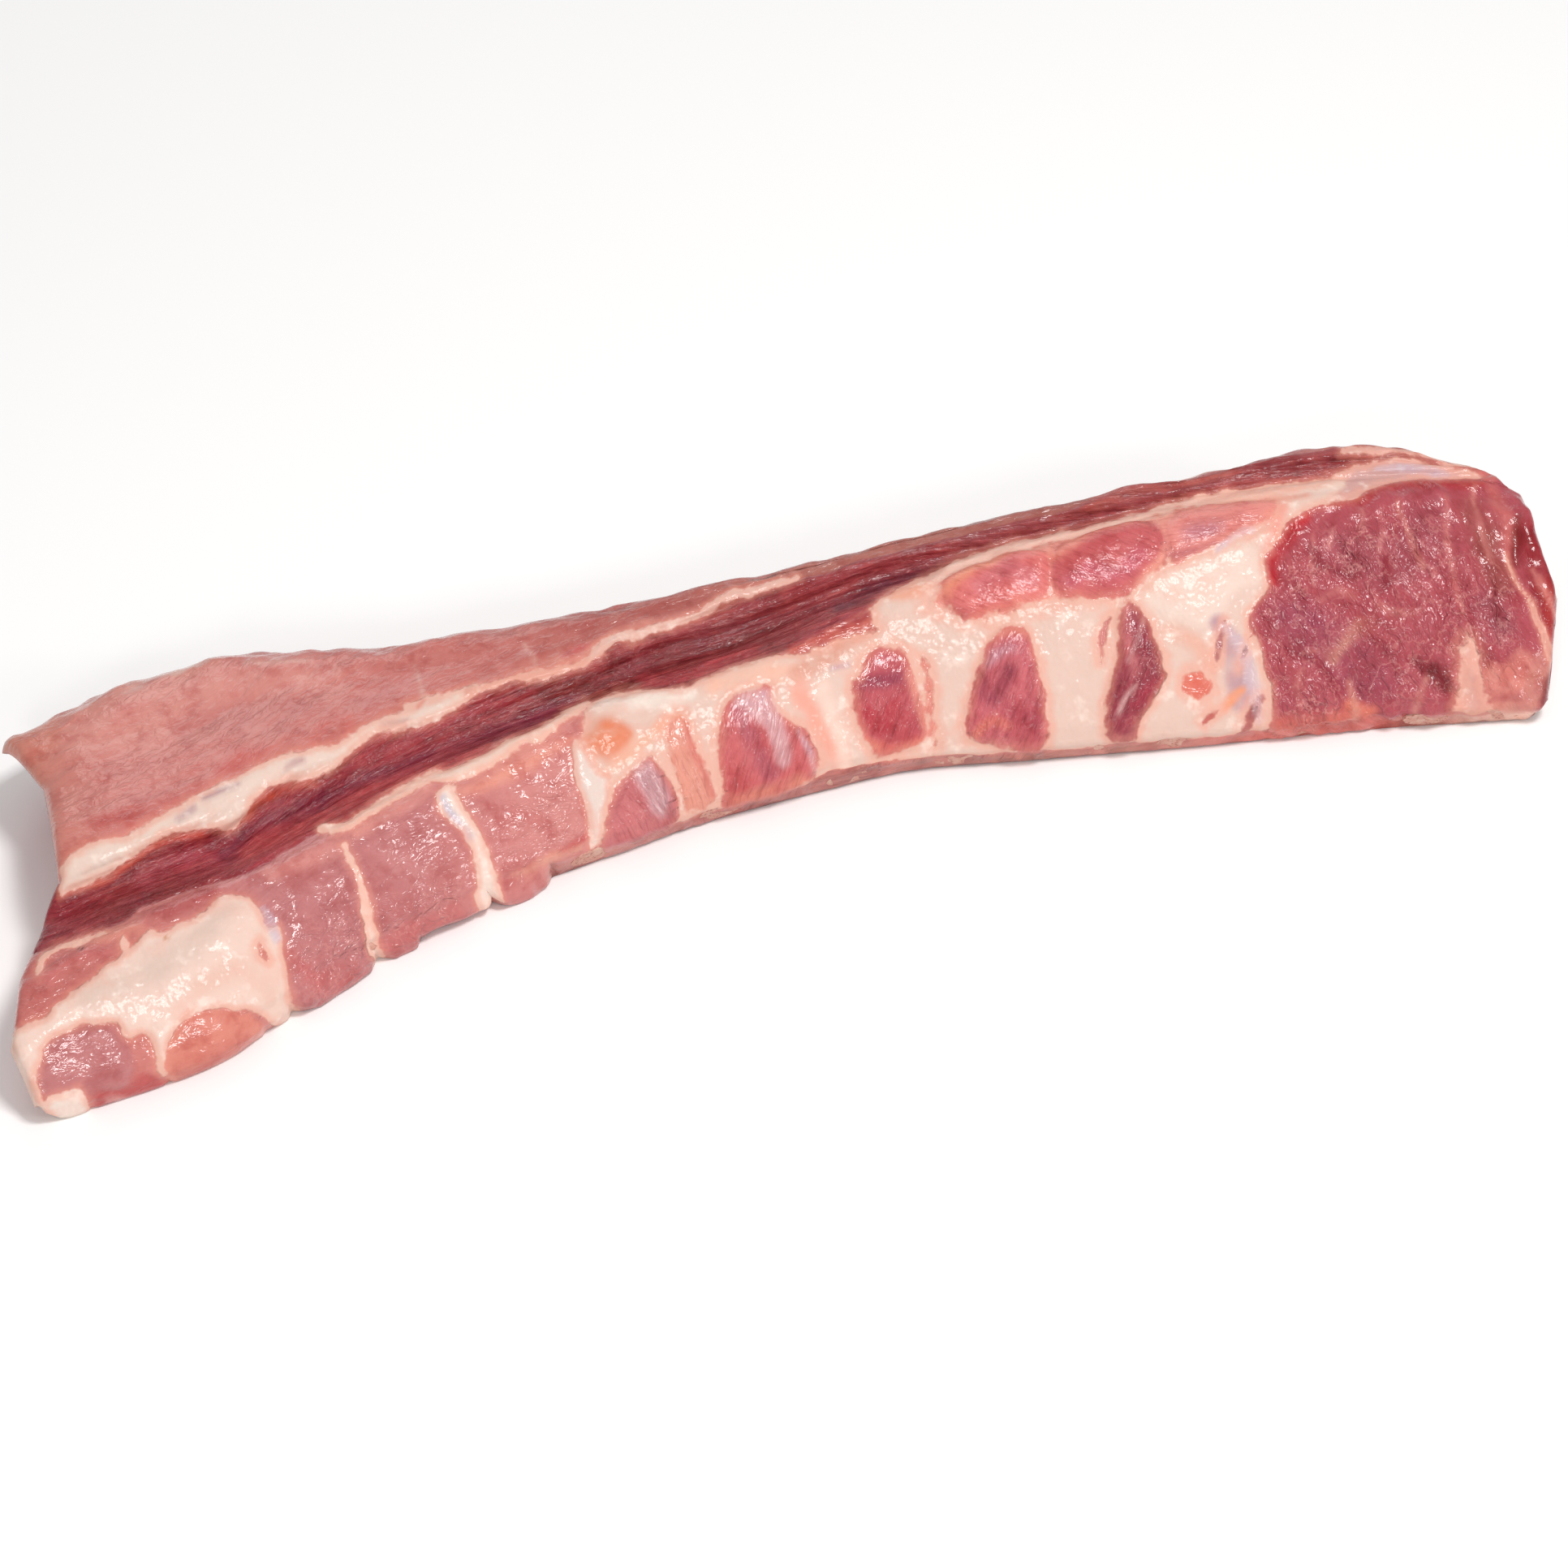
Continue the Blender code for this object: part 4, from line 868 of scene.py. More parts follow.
BORDER_DIP = 0.35          # how far a muscle's border sinks between it and the fat
DIP_REACH = 0.9            # how far to each side it sinks
BORDER_SOFTNESS = 0.5      # millimetres over which even the crispest border changes
UNDERLAY = (-1.5, 0.2)     # a colour starts this far outside its border and is full inside it
VEIL_ON_MUSCLE = 0.3       # how much a veil pales what lies under it
VEIL_ON_FAT = 0.45
EDGE_SWELL = 0.6           # share of a swelling that lies at its edge, the rest rises further in
SWELL_REACH = 6.0
blotches = soft_noise(points, 4.5, 21) + 0.5 * soft_noise(points, 1.9, 22)
broken = np.clip(0.85 + 0.35 * blotches, 0, 1)


def paint(tissues):
    """Paint rows of a tissue table onto the layers, in order."""
    for kind, code, edge, swell, shape in tissues:
        depth = drawn_depth(shape)
        colour = tissue_colour(code) if code else None
        over = ramp(depth, -0.5 * edge, 0.5 * edge)
        crisp = 1 / (BORDER_SOFTNESS + edge)
        if kind == "muscle":
            blend(muscle, colour, ramp(depth, *UNDERLAY))
            np.minimum(fat, -depth * crisp, out=fat)
            raised[:] -= BORDER_DIP * np.exp(-(depth / DIP_REACH) ** 2)
        elif kind == "fat":
            blend(fat_tone, colour, ramp(depth, *UNDERLAY))
            np.maximum(fat, depth * crisp, out=fat)
        elif kind in ("tint", "fat_tint"):
            soft = ramp(depth, -0.9 * edge - 0.3, 0.7 * edge + 0.2) * broken
            blend(muscle if kind == "tint" else fat_tone, colour, soft)
        elif kind == "veil":
            blend(muscle, colour, VEIL_ON_MUSCLE * over)
            blend(fat_tone, colour, VEIL_ON_FAT * over)
            np.maximum(film, over, out=film)
        step = ramp(depth, -0.6 - 0.4 * edge, 1.0 + 0.4 * edge)
        further_in = ramp(depth, 0.0, SWELL_REACH)
        raised[:] += swell * (EDGE_SWELL * step + (1 - EDGE_SWELL) * further_in)


for table in (TOP_TISSUES, LEFT_TISSUES, PANEL_TISSUES, RIB_TISSUES, LOIN_TISSUES):
    paint(table)
print("share of fat:", round(float((fat > 0).mean()), 3))

# %% [markdown]
# ## The sides that the photograph doesn't show
#
# The far side is the outer cut face of the same meat, and the underside lay against the fat under
# the skin. They are painted by rule: pale muscle with long thin seams of fat, and underneath a
# broken layer of fat. A border of noise leads from the drawn part to these.

# %% Far side, underside and sawn strip
LAST_DRAWN = 7.05          # round_at where the drawn part gives way, just behind the crest
UNDER_FROM = 9.75          # round_at where the far side gives way to the underside
BACK_TONES = ((0, "#c77f78"), (150, "#bf706b"), (300, "#b2625f"), (480, "#a9555a"))
SEAM_DEPTH = 4.0           # depth of the fat seams on the far side
SEAM_FROM = 0.62           # noise above this is a seam
SAWN_TOP = ((600, 1130), (684, 1078), (740, 1062), (785, 1050), (842, 1018), (900, 1005),
            (980, 975), (1005, 958), (1020, 947), (1060, 941), (1130, 931), (1180, 926),
            (1280, 929), (1340, 917), (1380, 919), (1430, 910), (1500, 912), (1560, 905),
            (1640, 900), (1720, 893), (1800, 881), (1930, 879))
SAWN_FROM = 672            # pixel to the left of which overhanging meat hides the sawn strip
SAWN_TONES = ((680, "#c98178"), (900, "#bb716c"), (1100, "#bd7c75"), (1400, "#c98579"),
              (1560, "#d8766c"), (1700, "#cf6d66"), (1800, "#e2a898"), (1905, "#f0c2b0"))


def paint_rules():
    """Colours of the far side and underside, by place and noise."""
    lumps = soft_noise(points, 26.0, 31) + 0.6 * soft_noise(points, 9.0, 32)
    streak_at = np.stack([along / 55.0, round_at * 2.6, 0 * along], axis=1)
    streak = soft_noise(streak_at, 1.0, 33) + 0.35 * soft_noise(streak_at * 3.1, 1.0, 34)
    behind = ramp(round_at + 0.12 * lumps, LAST_DRAWN, LAST_DRAWN + 0.5)
    blend(muscle, tone_along(along, BACK_TONES) * (1 + 0.12 * lumps)[:, None], behind)
    seam_depth = SEAM_DEPTH * (streak - SEAM_FROM) - 0.4
    under = ramp(round_at + 0.15 * lumps, UNDER_FROM, UNDER_FROM + 0.35)
    cover = 2.2 * (lumps + 0.35)
    rule_fat = (1 - under) * seam_depth + under * cover
    fat[:] += behind * (rule_fat - fat)
    blend(fat_tone, tissue_colour("#ecc9ba"), behind)
    raised[:] += behind * (0.9 * soft_noise(points, 16.0, 39) + 0.6 * soft_noise(points, 6.0, 35)
                           + 0.6 * ramp(rule_fat, -0.5, 1.0))
    film[:] *= 1 - behind
    wet[:] += behind * ramp(lumps, 0.0, 0.7) * 0.5


paint_rules()
sawn_depth = below(true_spots, SAWN_TOP)
sawn = ramp(sawn_depth, -0.1, 0.7) * ramp(-round_at, -1.35, -1.0)
sawn = np.maximum(sawn, ramp(-round_at, -0.9, -0.55))
sawn *= ramp(true_spots[:, 0] + 6 * soft_noise(points, 8.0, 36), SAWN_FROM - 8, SAWN_FROM + 8)
sawn_blotches = 1 + 0.22 * soft_noise(points, 5.0, 37)
blend(muscle, tone_along(true_spots[:, 0], SAWN_TONES) * sawn_blotches[:, None], sawn)
fat -= sawn * (fat + 2.0)
print("share of sawn strip:", round(float(sawn.mean()), 3))

# %% [markdown]
# ## Direction of the fibres
#
# Muscle is a bundle of fibres, and each muscle has its own direction. A second set of coordinates
# runs along the fibres, so that the shader can stretch its grain that way. Along the back the
# fibres run the length of the rack; between the ribs they run steeply down. Two more layers say
# how wet a place is, for its glints, and how clearly its fibres show. Wetness also brings out pale
# flecks painted into the colour, which stand partly for threads of connective tissue and partly for
# painted glints.

# %% Fibre coordinates
FIBRE_PATCHES = (   # steepness in degrees, then outline in pixels
    (-60, ((735, 1060), (800, 915), (850, 1040))),
    (-75, ((800, 880), (850, 870), (890, 1010), (840, 1010))),
    (70, ((880, 1010), (880, 850), (960, 840), (1010, 970))),
    (68, ((1045, 940), (1060, 790), (1120, 790), (1160, 930))),
    (72, ((1185, 925), (1220, 765), (1270, 765), (1295, 930))),
    (70, ((1350, 920), (1375, 735), (1440, 760), (1440, 900))),
    (-58, ((1560, 920), (1535, 760), (1570, 650), (1660, 612), (1800, 590), (1960, 590),
           (1960, 920))),
    (-25, ((1150, 760), (1160, 700), (1400, 638), (1440, 700), (1300, 750))),
)
FIBRE_MARGIN = 2.0         # the turn reaches this far under the fat round a muscle
NEAR_SIDE_END = 3.6        # round_at behind which nothing is turned


def turn_fibres(steepness, outline):
    """Turn the fibre coordinates of one muscle about its own middle."""
    chosen = (inside(true_spots, outline) > -FIBRE_MARGIN) & (round_at < NEAR_SIDE_END)
    middle = fibre[chosen].mean(axis=0)
    angle = math.radians(steepness)
    turn = np.array([[math.cos(angle), -math.sin(angle), 0],
                     [math.sin(angle), math.cos(angle), 0], [0, 0, 1]])
    fibre[chosen] = (fibre[chosen] - middle) @ turn + middle


for steepness, outline in FIBRE_PATCHES:
    turn_fibres(steepness, outline)
print("fibre directions:", len(FIBRE_PATCHES))

# %% Wetness, and how clearly the fibres show
WET_PATCHES = (   # how wet, then outline in pixels
    (1.5, ((350, 1150), (460, 1100), (470, 1190), (370, 1240))),
    (1.5, ((450, 1120), (560, 1075), (570, 1110), (470, 1180))),
    (1.1, ((600, 1000), (720, 950), (730, 1050), (620, 1090))),
    (1.3, ((770, 1020), (790, 940), (830, 940), (845, 1010))),
    (0.8, ((960, 900), (990, 860), (1010, 930), (990, 960))),
    (1.4, ((1180, 920), (1240, 840), (1290, 900), (1290, 925))),
    (1.4, ((1380, 900), (1400, 780), (1450, 800), (1450, 880))),
    (1.5, ((1560, 900), (1540, 760), (1600, 660), (1760, 620), (1860, 700), (1900, 860))),
    (2.4, ((1640, 650), (1700, 640), (1715, 740), (1650, 725))),
    (2.6, ((1770, 730), (1825, 720), (1830, 810), (1770, 810))),
    (2.6, ((1828, 715), (1868, 715), (1868, 800), (1832, 800))),
    (2.4, ((1560, 840), (1650, 835), (1650, 895), (1565, 895))),
    (2.4, ((1665, 800), (1725, 800), (1725, 865), (1670, 865))),
)
for amount, outline in WET_PATCHES:
    wet[:] = np.maximum(wet, amount * ramp(inside(spots, outline), -4, 5))
wet *= 0.8 + 0.4 * soft_noise(points, 9.0, 38)
FAINT = 0.12               # how clearly the fibres show outside the groove
stringy = FAINT + (1 - FAINT) * in_groove + 0.25 * ramp(round_at, 7.0, 7.6)
STRINGY_PATCHES = (   # how clearly the fibres show, then outline in pixels
    (0.1, ((290, 1100), (400, 1020), (700, 890), (750, 1055), (350, 1265))),
    (0.8, ((735, 1060), (800, 915), (1440, 740), (1440, 910))),
    (0.6, ((1150, 770), (1160, 690), (1570, 610), (1550, 670), (1300, 750))),
    (0.28, LOIN_OUTLINE),
)
for amount, outline in STRINGY_PATCHES:
    stringy += ramp(inside(spots, outline), -3, 3) * (amount - stringy)
TORN_STEP = 4.0            # where fibre coordinates jump by more, no fibres are shown
fibre_grid = fibre.reshape(base_grid.shape)
torn = np.zeros(along_grid.shape, bool)
for axis, shift in ((0, 1), (0, -1), (1, 1), (1, -1)):
    jump = fibre_grid - np.roll(fibre_grid, shift, axis=axis)
    torn |= np.linalg.norm(jump, axis=-1) > TORN_STEP
stringy[torn.reshape(-1)] = 0.0
wet[torn.reshape(-1)] = 0.0
print("wettest place:", round(float(wet.max()), 2))

# %% [markdown]
# ## Relief
#
# The drawn tissues already carry their swelling. The finer relief comes from noise with a rule for
# each muscle: lengthwise cords in the groove, shallow dents on the flap, wet wrinkles on the loin
# and a lower edge in scallops. The panels lie over the rib bones, so the near side is lifted
# enough to cover them.

# %% Relief
COVER = 1.5                # lift of the near side, which hides the bones' fronts
OVERHANG = 1.6             # how far the meat hangs over the sawn strip at the left
LOIN_SINK = 1.5            # how far the loin lies lower, to leave room for its lumps
CREST_SINK = 0.6


def fibre_cords(length, width, seed):
    """Noise drawn out along the fibres."""
    stretched = np.stack([fibre[:, 0] / length, fibre[:, 1] / width, 0 * along], axis=1)
    return soft_noise(stretched, 1.0, seed)


near_cover = ramp(round_at, 1.0, 1.18) * ramp(-round_at, -3.0, -2.75)
loin = ramp(inside(spots, LOIN_OUTLINE), 0, 4) * ramp(-round_at, -4.2, -3.6)
panels = ramp(true_spots[:, 0], 250, 340) * ramp(-true_spots[:, 0], -760, -700) * near_cover
flap = ramp(round_at, 5.0, 5.4) * ramp(-round_at, -7.6, -7.0)
meaty = ramp(-fat, -0.2, 0.8)
at_crest = ramp(round_at, 6.4, 6.9) * ramp(-round_at, -7.9, -7.2)
strip = ramp(-round_at, -1.05, -0.7)
left_part = ramp(-true_spots[:, 0], -SAWN_FROM - 10, -SAWN_FROM + 30)
RELIEF = (   # where, height, size of the lumps, or length and width of the cords, seed
    (in_groove, 0.9, (34, 3.2), 41), (in_groove, 0.45, (16, 1.5), 42),
    (flap, 0.8, 17, 43), (flap, 0.35, (14, 4), 44), (flap, 0.16, 2.4, 45),
    (panels * meaty, 0.5, 12, 46), (panels * meaty, 0.22, (9, 2.2), 47),
    (near_cover, 0.4, 8, 48), (near_cover, 0.14, 2.6, 49),
    (loin, 1.6, 13, 50), (loin, 1.0, (11, 3.6), 51), (loin, 0.8, 4.2, 52),
    (at_crest, 1.3, 15, 55), (at_crest, 0.5, 5, 56),
    (strip * left_part, 0.5, 9, 53), (strip * (1 - left_part), 0.35, 3, 54),
)
for where, height, size, seed in RELIEF:
    noise = fibre_cords(*size, seed) if isinstance(size, tuple) else soft_noise(points, size, seed)
    raised += where * height * noise
raised += COVER * near_cover + OVERHANG * strip * left_part - LOIN_SINK * loin
raised -= CREST_SINK * at_crest
raised *= ramp(-round_at, -10.0, -9.6)
print("relief from", round(float(raised.min()), 2), "to", round(float(raised.max()), 2), "mm")

# %% Move the points
BOX_MARGIN = 0.05          # how far the skin stays inside the solid's box
EDGE_FADE = 2.5            # the relief fades out over this distance from each end
lowest = np.array(cad_low) / MM + BOX_MARGIN
highest = np.array(cad_high) / MM - BOX_MARGIN
edge_fade = ramp(np.minimum(along_grid - along_grid.min(axis=0),
                            along_grid.max(axis=0) - along_grid), 0.0, EDGE_FADE)
lift = raised.reshape(along_grid.shape) * edge_fade
raised_grid = base_grid + base_normals * lift[..., None]
raised_grid = np.clip(raised_grid, lowest, highest)
underside = round_grid >= LINES.index("heel")
raised_grid[..., 2] = np.where(underside, base_grid[..., 2], raised_grid[..., 2])
raised_grid[:, 0, 2] = base_grid[:, 0, 2]
print("raised points:", raised_grid.shape)

# %% [markdown]
# ## Ends and mesh
#
# The saw left a cut face at each end. Lines of points join the upper half of the last ring to the
# lower half, and swell out a little, because cut meat does. Their colours are those of a cut
# through muscle with thin seams of fat.

# %% Ends
CAP_LINES = 18
CAP_SWELL = 1.5            # how far the middle of a cut end stands out
CAP_LUMPS = 0.5            # height of the lumps on it


def zip_paths(first, second, where):
    """Triangles between two paths of point numbers that run the same way."""
    def shares(path):
        steps = np.linalg.norm(np.diff(where[path], axis=0), axis=1)
        return np.concatenate([[0.0], np.cumsum(steps)]) / steps.sum()
    share_a, share_b = shares(first), shares(second)
    faces = []
    a = b = 0
    while a < len(first) - 1 or b < len(second) - 1:
        step_a = b == len(second) - 1 or (a < len(first) - 1 and share_a[a + 1] <= share_b[b + 1])
        corners = [first[a], second[b], first[a + 1] if step_a else second[b + 1]]
        if len(set(corners)) == 3:
            faces.append(corners)
        a, b = (a + 1, b) if step_a else (a, b + 1)
    return faces


def close_end(where, ring, outward):
    """New points and faces that close one end of the skin."""
    front = ROWS[0] // 2
    rear = len(ring) - ROWS[-1] - ROWS[-2] // 2
    upper = ring[front:rear + 1]
    lower = list(reversed(ring[rear:] + ring[:front + 1]))
    top_share = np.linspace(0, 1, len(upper))
    low_share = np.linspace(0, 1, len(lower))
    below_top = np.stack([np.interp(top_share, low_share, where[lower, axis])
                          for axis in range(3)], axis=1)
    lines, faces = [upper], []
    for number in range(1, CAP_LINES + 1):
        share = number / (CAP_LINES + 1)
        made = where[upper] * (1 - share) + below_top * share
        room = np.minimum(1.0, 8 * np.minimum(top_share, 1 - top_share))
        swell = CAP_SWELL * math.sin(math.pi * share) * room
        made[:, 0] += outward * (swell + CAP_LUMPS * soft_noise(made, 5.0, 61) * room)
        first_new = len(where)
        where = np.vstack([where, made[1:-1]])
        lines.append([upper[0], *range(first_new, len(where)), upper[-1]])
    for above, under in zip(lines[:-1], lines[1:]):
        for at in range(len(above) - 1):
            corners = [above[at], above[at + 1], under[at + 1], under[at]]
            faces.append(list(dict.fromkeys(corners)))
    return where, faces + zip_paths(lines[-1], lower, where)


def skin_faces(rings, per_ring):
    """Quads round and along the skin."""
    numbers = np.arange(rings * per_ring).reshape(rings, per_ring)
    beside = np.roll(numbers, -1, axis=1)
    quads = np.stack([numbers[:-1], numbers[1:], beside[1:], beside[:-1]], axis=-1)
    return quads.reshape(-1, 4).tolist()


ring_total, per_ring = base_grid.shape[:2]
corners = raised_grid.reshape(-1, 3)
faces = skin_faces(ring_total, per_ring)
for ring, outward in ((0, -1), (ring_total - 1, 1)):
    numbers = list(range(ring * per_ring, (ring + 1) * per_ring))
    corners, cap_faces = close_end(corners, numbers, outward)
    faces += cap_faces
corners = np.clip(corners, lowest, highest)
print(len(corners), "points,", len(faces), "faces")


# %% Layers on the ends
def cap_layer(values, fill):
    """A painted layer with values for the points of both ends added."""
    extra = np.broadcast_to(fill, (len(corners) - total,) + np.shape(values)[1:])
    return np.concatenate([values, extra])


cap_points = corners[total:]
cap_noise = soft_noise(cap_points, 12.0, 62) + 0.5 * soft_noise(cap_points, 4.0, 63)
all_muscle = cap_layer(muscle, 0.0)
all_muscle[total:] = tissue_colour("#b9555a") * (1 + 0.2 * cap_noise)[:, None]
all_fat_tone = cap_layer(fat_tone, tissue_colour("#efcfc0"))
all_fat = cap_layer(fat, 0.0)
all_fat[total:] = 0.5 - 14.0 * np.abs(soft_noise(cap_points, 34.0, 64))    # thin seams
all_film = cap_layer(film, 0.0)
all_wet = cap_layer(wet, 0.5)
all_stringy = cap_layer(stringy, 0.4)
all_fibre = cap_layer(fibre, 0.0)
all_fibre[total:] = cap_points[:, [1, 2, 0]]
print("layers for", len(all_fat), "points")

# %% Mesh of the skin
skin_mesh = bpy.data.meshes.new("meat_skin")
skin_mesh.from_pydata((corners * MM).tolist(), [], faces)
for name, kind, field, values in (
        ("muscle", "FLOAT_COLOR", "color", np.c_[all_muscle, np.ones(len(corners))]),
        ("fat_tone", "FLOAT_COLOR", "color", np.c_[all_fat_tone, np.ones(len(corners))]),
        ("fibre", "FLOAT_VECTOR", "vector", all_fibre),
        ("fat", "FLOAT", "value", all_fat),
        ("film", "FLOAT", "value", all_film),
        ("stringy", "FLOAT", "value", all_stringy),
        ("wet", "FLOAT", "value", all_wet)):
    layer = skin_mesh.attributes.new(name, kind, "POINT")
    layer.data.foreach_set(field, np.ascontiguousarray(values, np.float32).ravel())
build = bmesh.new()
build.from_mesh(skin_mesh)
bmesh.ops.recalc_face_normals(build, faces=build.faces[:])
build.to_mesh(skin_mesh)
build.free()
skin_mesh.shade_smooth()
skin = bpy.data.objects.new("meat_skin", skin_mesh)
bpy.context.scene.collection.objects.link(skin)
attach(skin, "root")
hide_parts("meat")
print(skin.name, len(skin_mesh.polygons), "polygons")

# %% [markdown]
# ## Material of the meat
#
# Raw meat is wet, soft and a little clear: light goes in and comes out again reddened, and water
# lies on top of it. So the shader has subsurface scattering with a long red reach, and a thin coat
# for the water. The painted layers give the colours; noise in real millimetres gives the grain and
# the ragged edge of the fat. Real fibres are finer than the render can show, so they are drawn as
# strands about 0.9 mm wide and 6 mm long.


# %% One function for nodes
def fill_inputs(tree, node, inputs):
    """Link or fill a node's inputs by name or number."""
    for key, value in inputs.items():
        if isinstance(value, bpy.types.NodeSocket):
            tree.links.new(value, node.inputs[key])
        else:
            node.inputs[key].default_value = value


def add_node(tree, kind, inputs=(), **settings):
    """Add a node with its settings, its links and its values."""
    made = tree.nodes.new(kind)
    for name, value in settings.items():
        setattr(made, name, value)
    fill_inputs(tree, made, dict(inputs))
    return made


def new_material(name):
    """An empty node material with its shader and output."""
    material = bpy.data.materials.new(name)
    material.use_nodes = True
    tree = material.node_tree
    tree.nodes.clear()
    shader = add_node(tree, "ShaderNodeBsdfPrincipled")
    add_node(tree, "ShaderNodeOutputMaterial", {"Surface": shader.outputs[0]})
    return material, tree, shader


# %% Meat: layers and noise
raw_meat, tree, shader = new_material("raw_pork")
COLOUR_A, COLOUR_B, COLOUR_OUT = 6, 7, 2     # sockets of a colour mix
drivers = {}
for name, output in (("muscle", "Color"), ("fat_tone", "Color"), ("fibre", "Vector"),
                     ("fat", "Fac"), ("film", "Fac"), ("wet", "Fac"), ("stringy", "Fac")):
    drivers[name] = add_node(tree, "ShaderNodeAttribute", attribute_name=name).outputs[output]
texture_spot = add_node(tree, "ShaderNodeTexCoord").outputs["Object"]
drivers["in_mm"] = add_node(tree, "ShaderNodeVectorMath", {0: texture_spot, 3: 1 / MM},
                            operation="SCALE").outputs[0]
MEAT_NOISE = (   # name, coordinates, lump size in millimetres, detail, twist
    ("strands", "fibre", (6.0, 0.9, 1.0), 3.0, 0.4),
    ("bundles", "fibre", (24.0, 3.0, 1.0), 2.0, 0.6),
    ("grain", "fibre", (4.8, 2.7, 1.0), 2.0, 0.8),
    ("patches", "in_mm", (12.0, 12.0, 12.0), 4.0, 0.0),
    ("clouds", "in_mm", (7.0, 7.0, 7.0), 3.0, 0.0),
    ("ragged", "in_mm", (4.2, 4.2, 4.2), 2.0, 0.0),
    ("lumps", "in_mm", (5.5, 5.5, 5.5), 2.0, 0.0),
)
for name, source, size, detail, twist in MEAT_NOISE:
    spread = add_node(tree, "ShaderNodeVectorMath",
                      {0: drivers[source], 1: [1 / length for length in size]},
                      operation="MULTIPLY").outputs[0]
    drivers[name] = add_node(tree, "ShaderNodeTexNoise",
                             {"Vector": spread, "Scale": 1.0, "Detail": detail, "Roughness": 0.6,
                              "Distortion": twist}).outputs[0]
SMALL_SUMS = (   # name, sum, first value, second, third
    ("roughened", "MULTIPLY_ADD", "ragged", 2.2, -1.1),
    ("fat_edge", "ADD", "fat", "roughened", 0.0),
    ("thread_side", "SUBTRACT", "patches", 0.5, 0.0),
    ("threads", "ABSOLUTE", "thread_side", 0.0, 0.0),
    ("grain_share", "MULTIPLY_ADD", "wet", 1.0, 0.15),
    ("grain_height", "MULTIPLY", "grain", "grain_share", 0.0),
    ("strand_share", "MULTIPLY_ADD", "stringy", 0.28, 0.0),
    ("fat_height", "MULTIPLY_ADD", "lumps", 0.55, 0.08),
    ("lean_height", "MULTIPLY_ADD", "strands", "strand_share", "grain_height"),
)
for name, operation, *values in SMALL_SUMS:
    filled = {at: drivers.get(value, value) for at, value in enumerate(values)}
    drivers[name] = add_node(tree, "ShaderNodeMath", filled, operation=operation).outputs[0]
drivers["fat_mask"] = add_node(tree, "ShaderNodeMapRange",
                               {"Value": drivers["fat_edge"], "From Min": -0.65, "From Max": 0.05},
                               interpolation_type="SMOOTHSTEP").outputs[0]
print("drivers for the meat:", ", ".join(drivers))


# %% Meat: colour
def lay_tints(tree, colour, rows, drivers):
    """Lay rows of tints over a colour, each as strong as its driver and its limit say."""
    for blend_type, code, driver, low, high, amount, limit in rows:
        share = add_node(tree, "ShaderNodeMapRange",
                         {"Value": drivers[driver], "From Min": low, "From Max": high,
                          "To Max": amount}, interpolation_type="SMOOTHSTEP").outputs[0]
        if limit:
            share = add_node(tree, "ShaderNodeMath", {0: share, 1: drivers[limit]},
                             operation="MULTIPLY").outputs[0]
        colour = add_node(tree, "ShaderNodeMix",
                          {0: share, COLOUR_A: colour, COLOUR_B: (*linear(code), 1)},
                          data_type="RGBA", blend_type=blend_type).outputs[COLOUR_OUT]
    return colour


LEAN_TINTS = (   # blend, colour, driver, its low and high, strength, what limits it
    ("MULTIPLY", "#b45f66", "strands", 0.5, 0.3, 0.5, "stringy"),
    ("SCREEN", "#7a2f2a", "strands", 0.5, 0.72, 0.7, "stringy"),
    ("MULTIPLY", "#bc767c", "bundles", 0.48, 0.3, 0.5, "stringy"),
    ("SCREEN", "#6a2c28", "bundles", 0.52, 0.74, 0.7, "stringy"),
    ("MULTIPLY", "#d8989a", "clouds", 0.5, 0.3, 0.45, None),
    ("SCREEN", "#5c322e", "clouds", 0.5, 0.72, 0.6, None),
    ("MULTIPLY", "#e09496", "patches", 0.5, 0.7, 0.4, None),
    ("MIX", "#e0907c", "fat_edge", -2.4, 0.3, 0.55, None),
    # painted glints: pale flecks on the peaks of the grain, as strong as the wetness, stand partly
    # for threads of connective tissue and partly for glints of light on the wet surface
    ("MIX", "#f0cfca", "grain", 0.66, 0.78, 0.25, "wet"),
    ("MIX", "#dc958d", "threads", 0.022, 0.0, 0.22, "wet"),
)
TALLOW_TINTS = (
    ("MIX", "#e2a594", "patches", 0.5, 0.75, 0.35, None),
    ("MIX", "#e2a08c", "fat_edge", 2.0, 0.2, 0.6, None),
    ("MIX", "#f6e4d8", "clouds", 0.55, 0.75, 0.5, None),
)
FILM_TINTS = (
    ("MIX", "#d6bcc0", "film", 0.0, 1.0, 0.25, None),
    ("MIX", "#eedcdc", "strands", 0.5, 0.72, 0.4, "film"),
    ("MIX", "#b79fb0", "clouds", 0.5, 0.65, 0.3, "film"),
)
lean = lay_tints(tree, drivers["muscle"], LEAN_TINTS, drivers)
tallow = lay_tints(tree, drivers["fat_tone"], TALLOW_TINTS, drivers)
meat_colour = add_node(tree, "ShaderNodeMix",
                       {0: drivers["fat_mask"], COLOUR_A: lean, COLOUR_B: tallow},
                       data_type="RGBA").outputs[COLOUR_OUT]
meat_colour = lay_tints(tree, meat_colour, FILM_TINTS, drivers)
print("tints:", len(LEAN_TINTS) + len(TALLOW_TINTS) + len(FILM_TINTS))

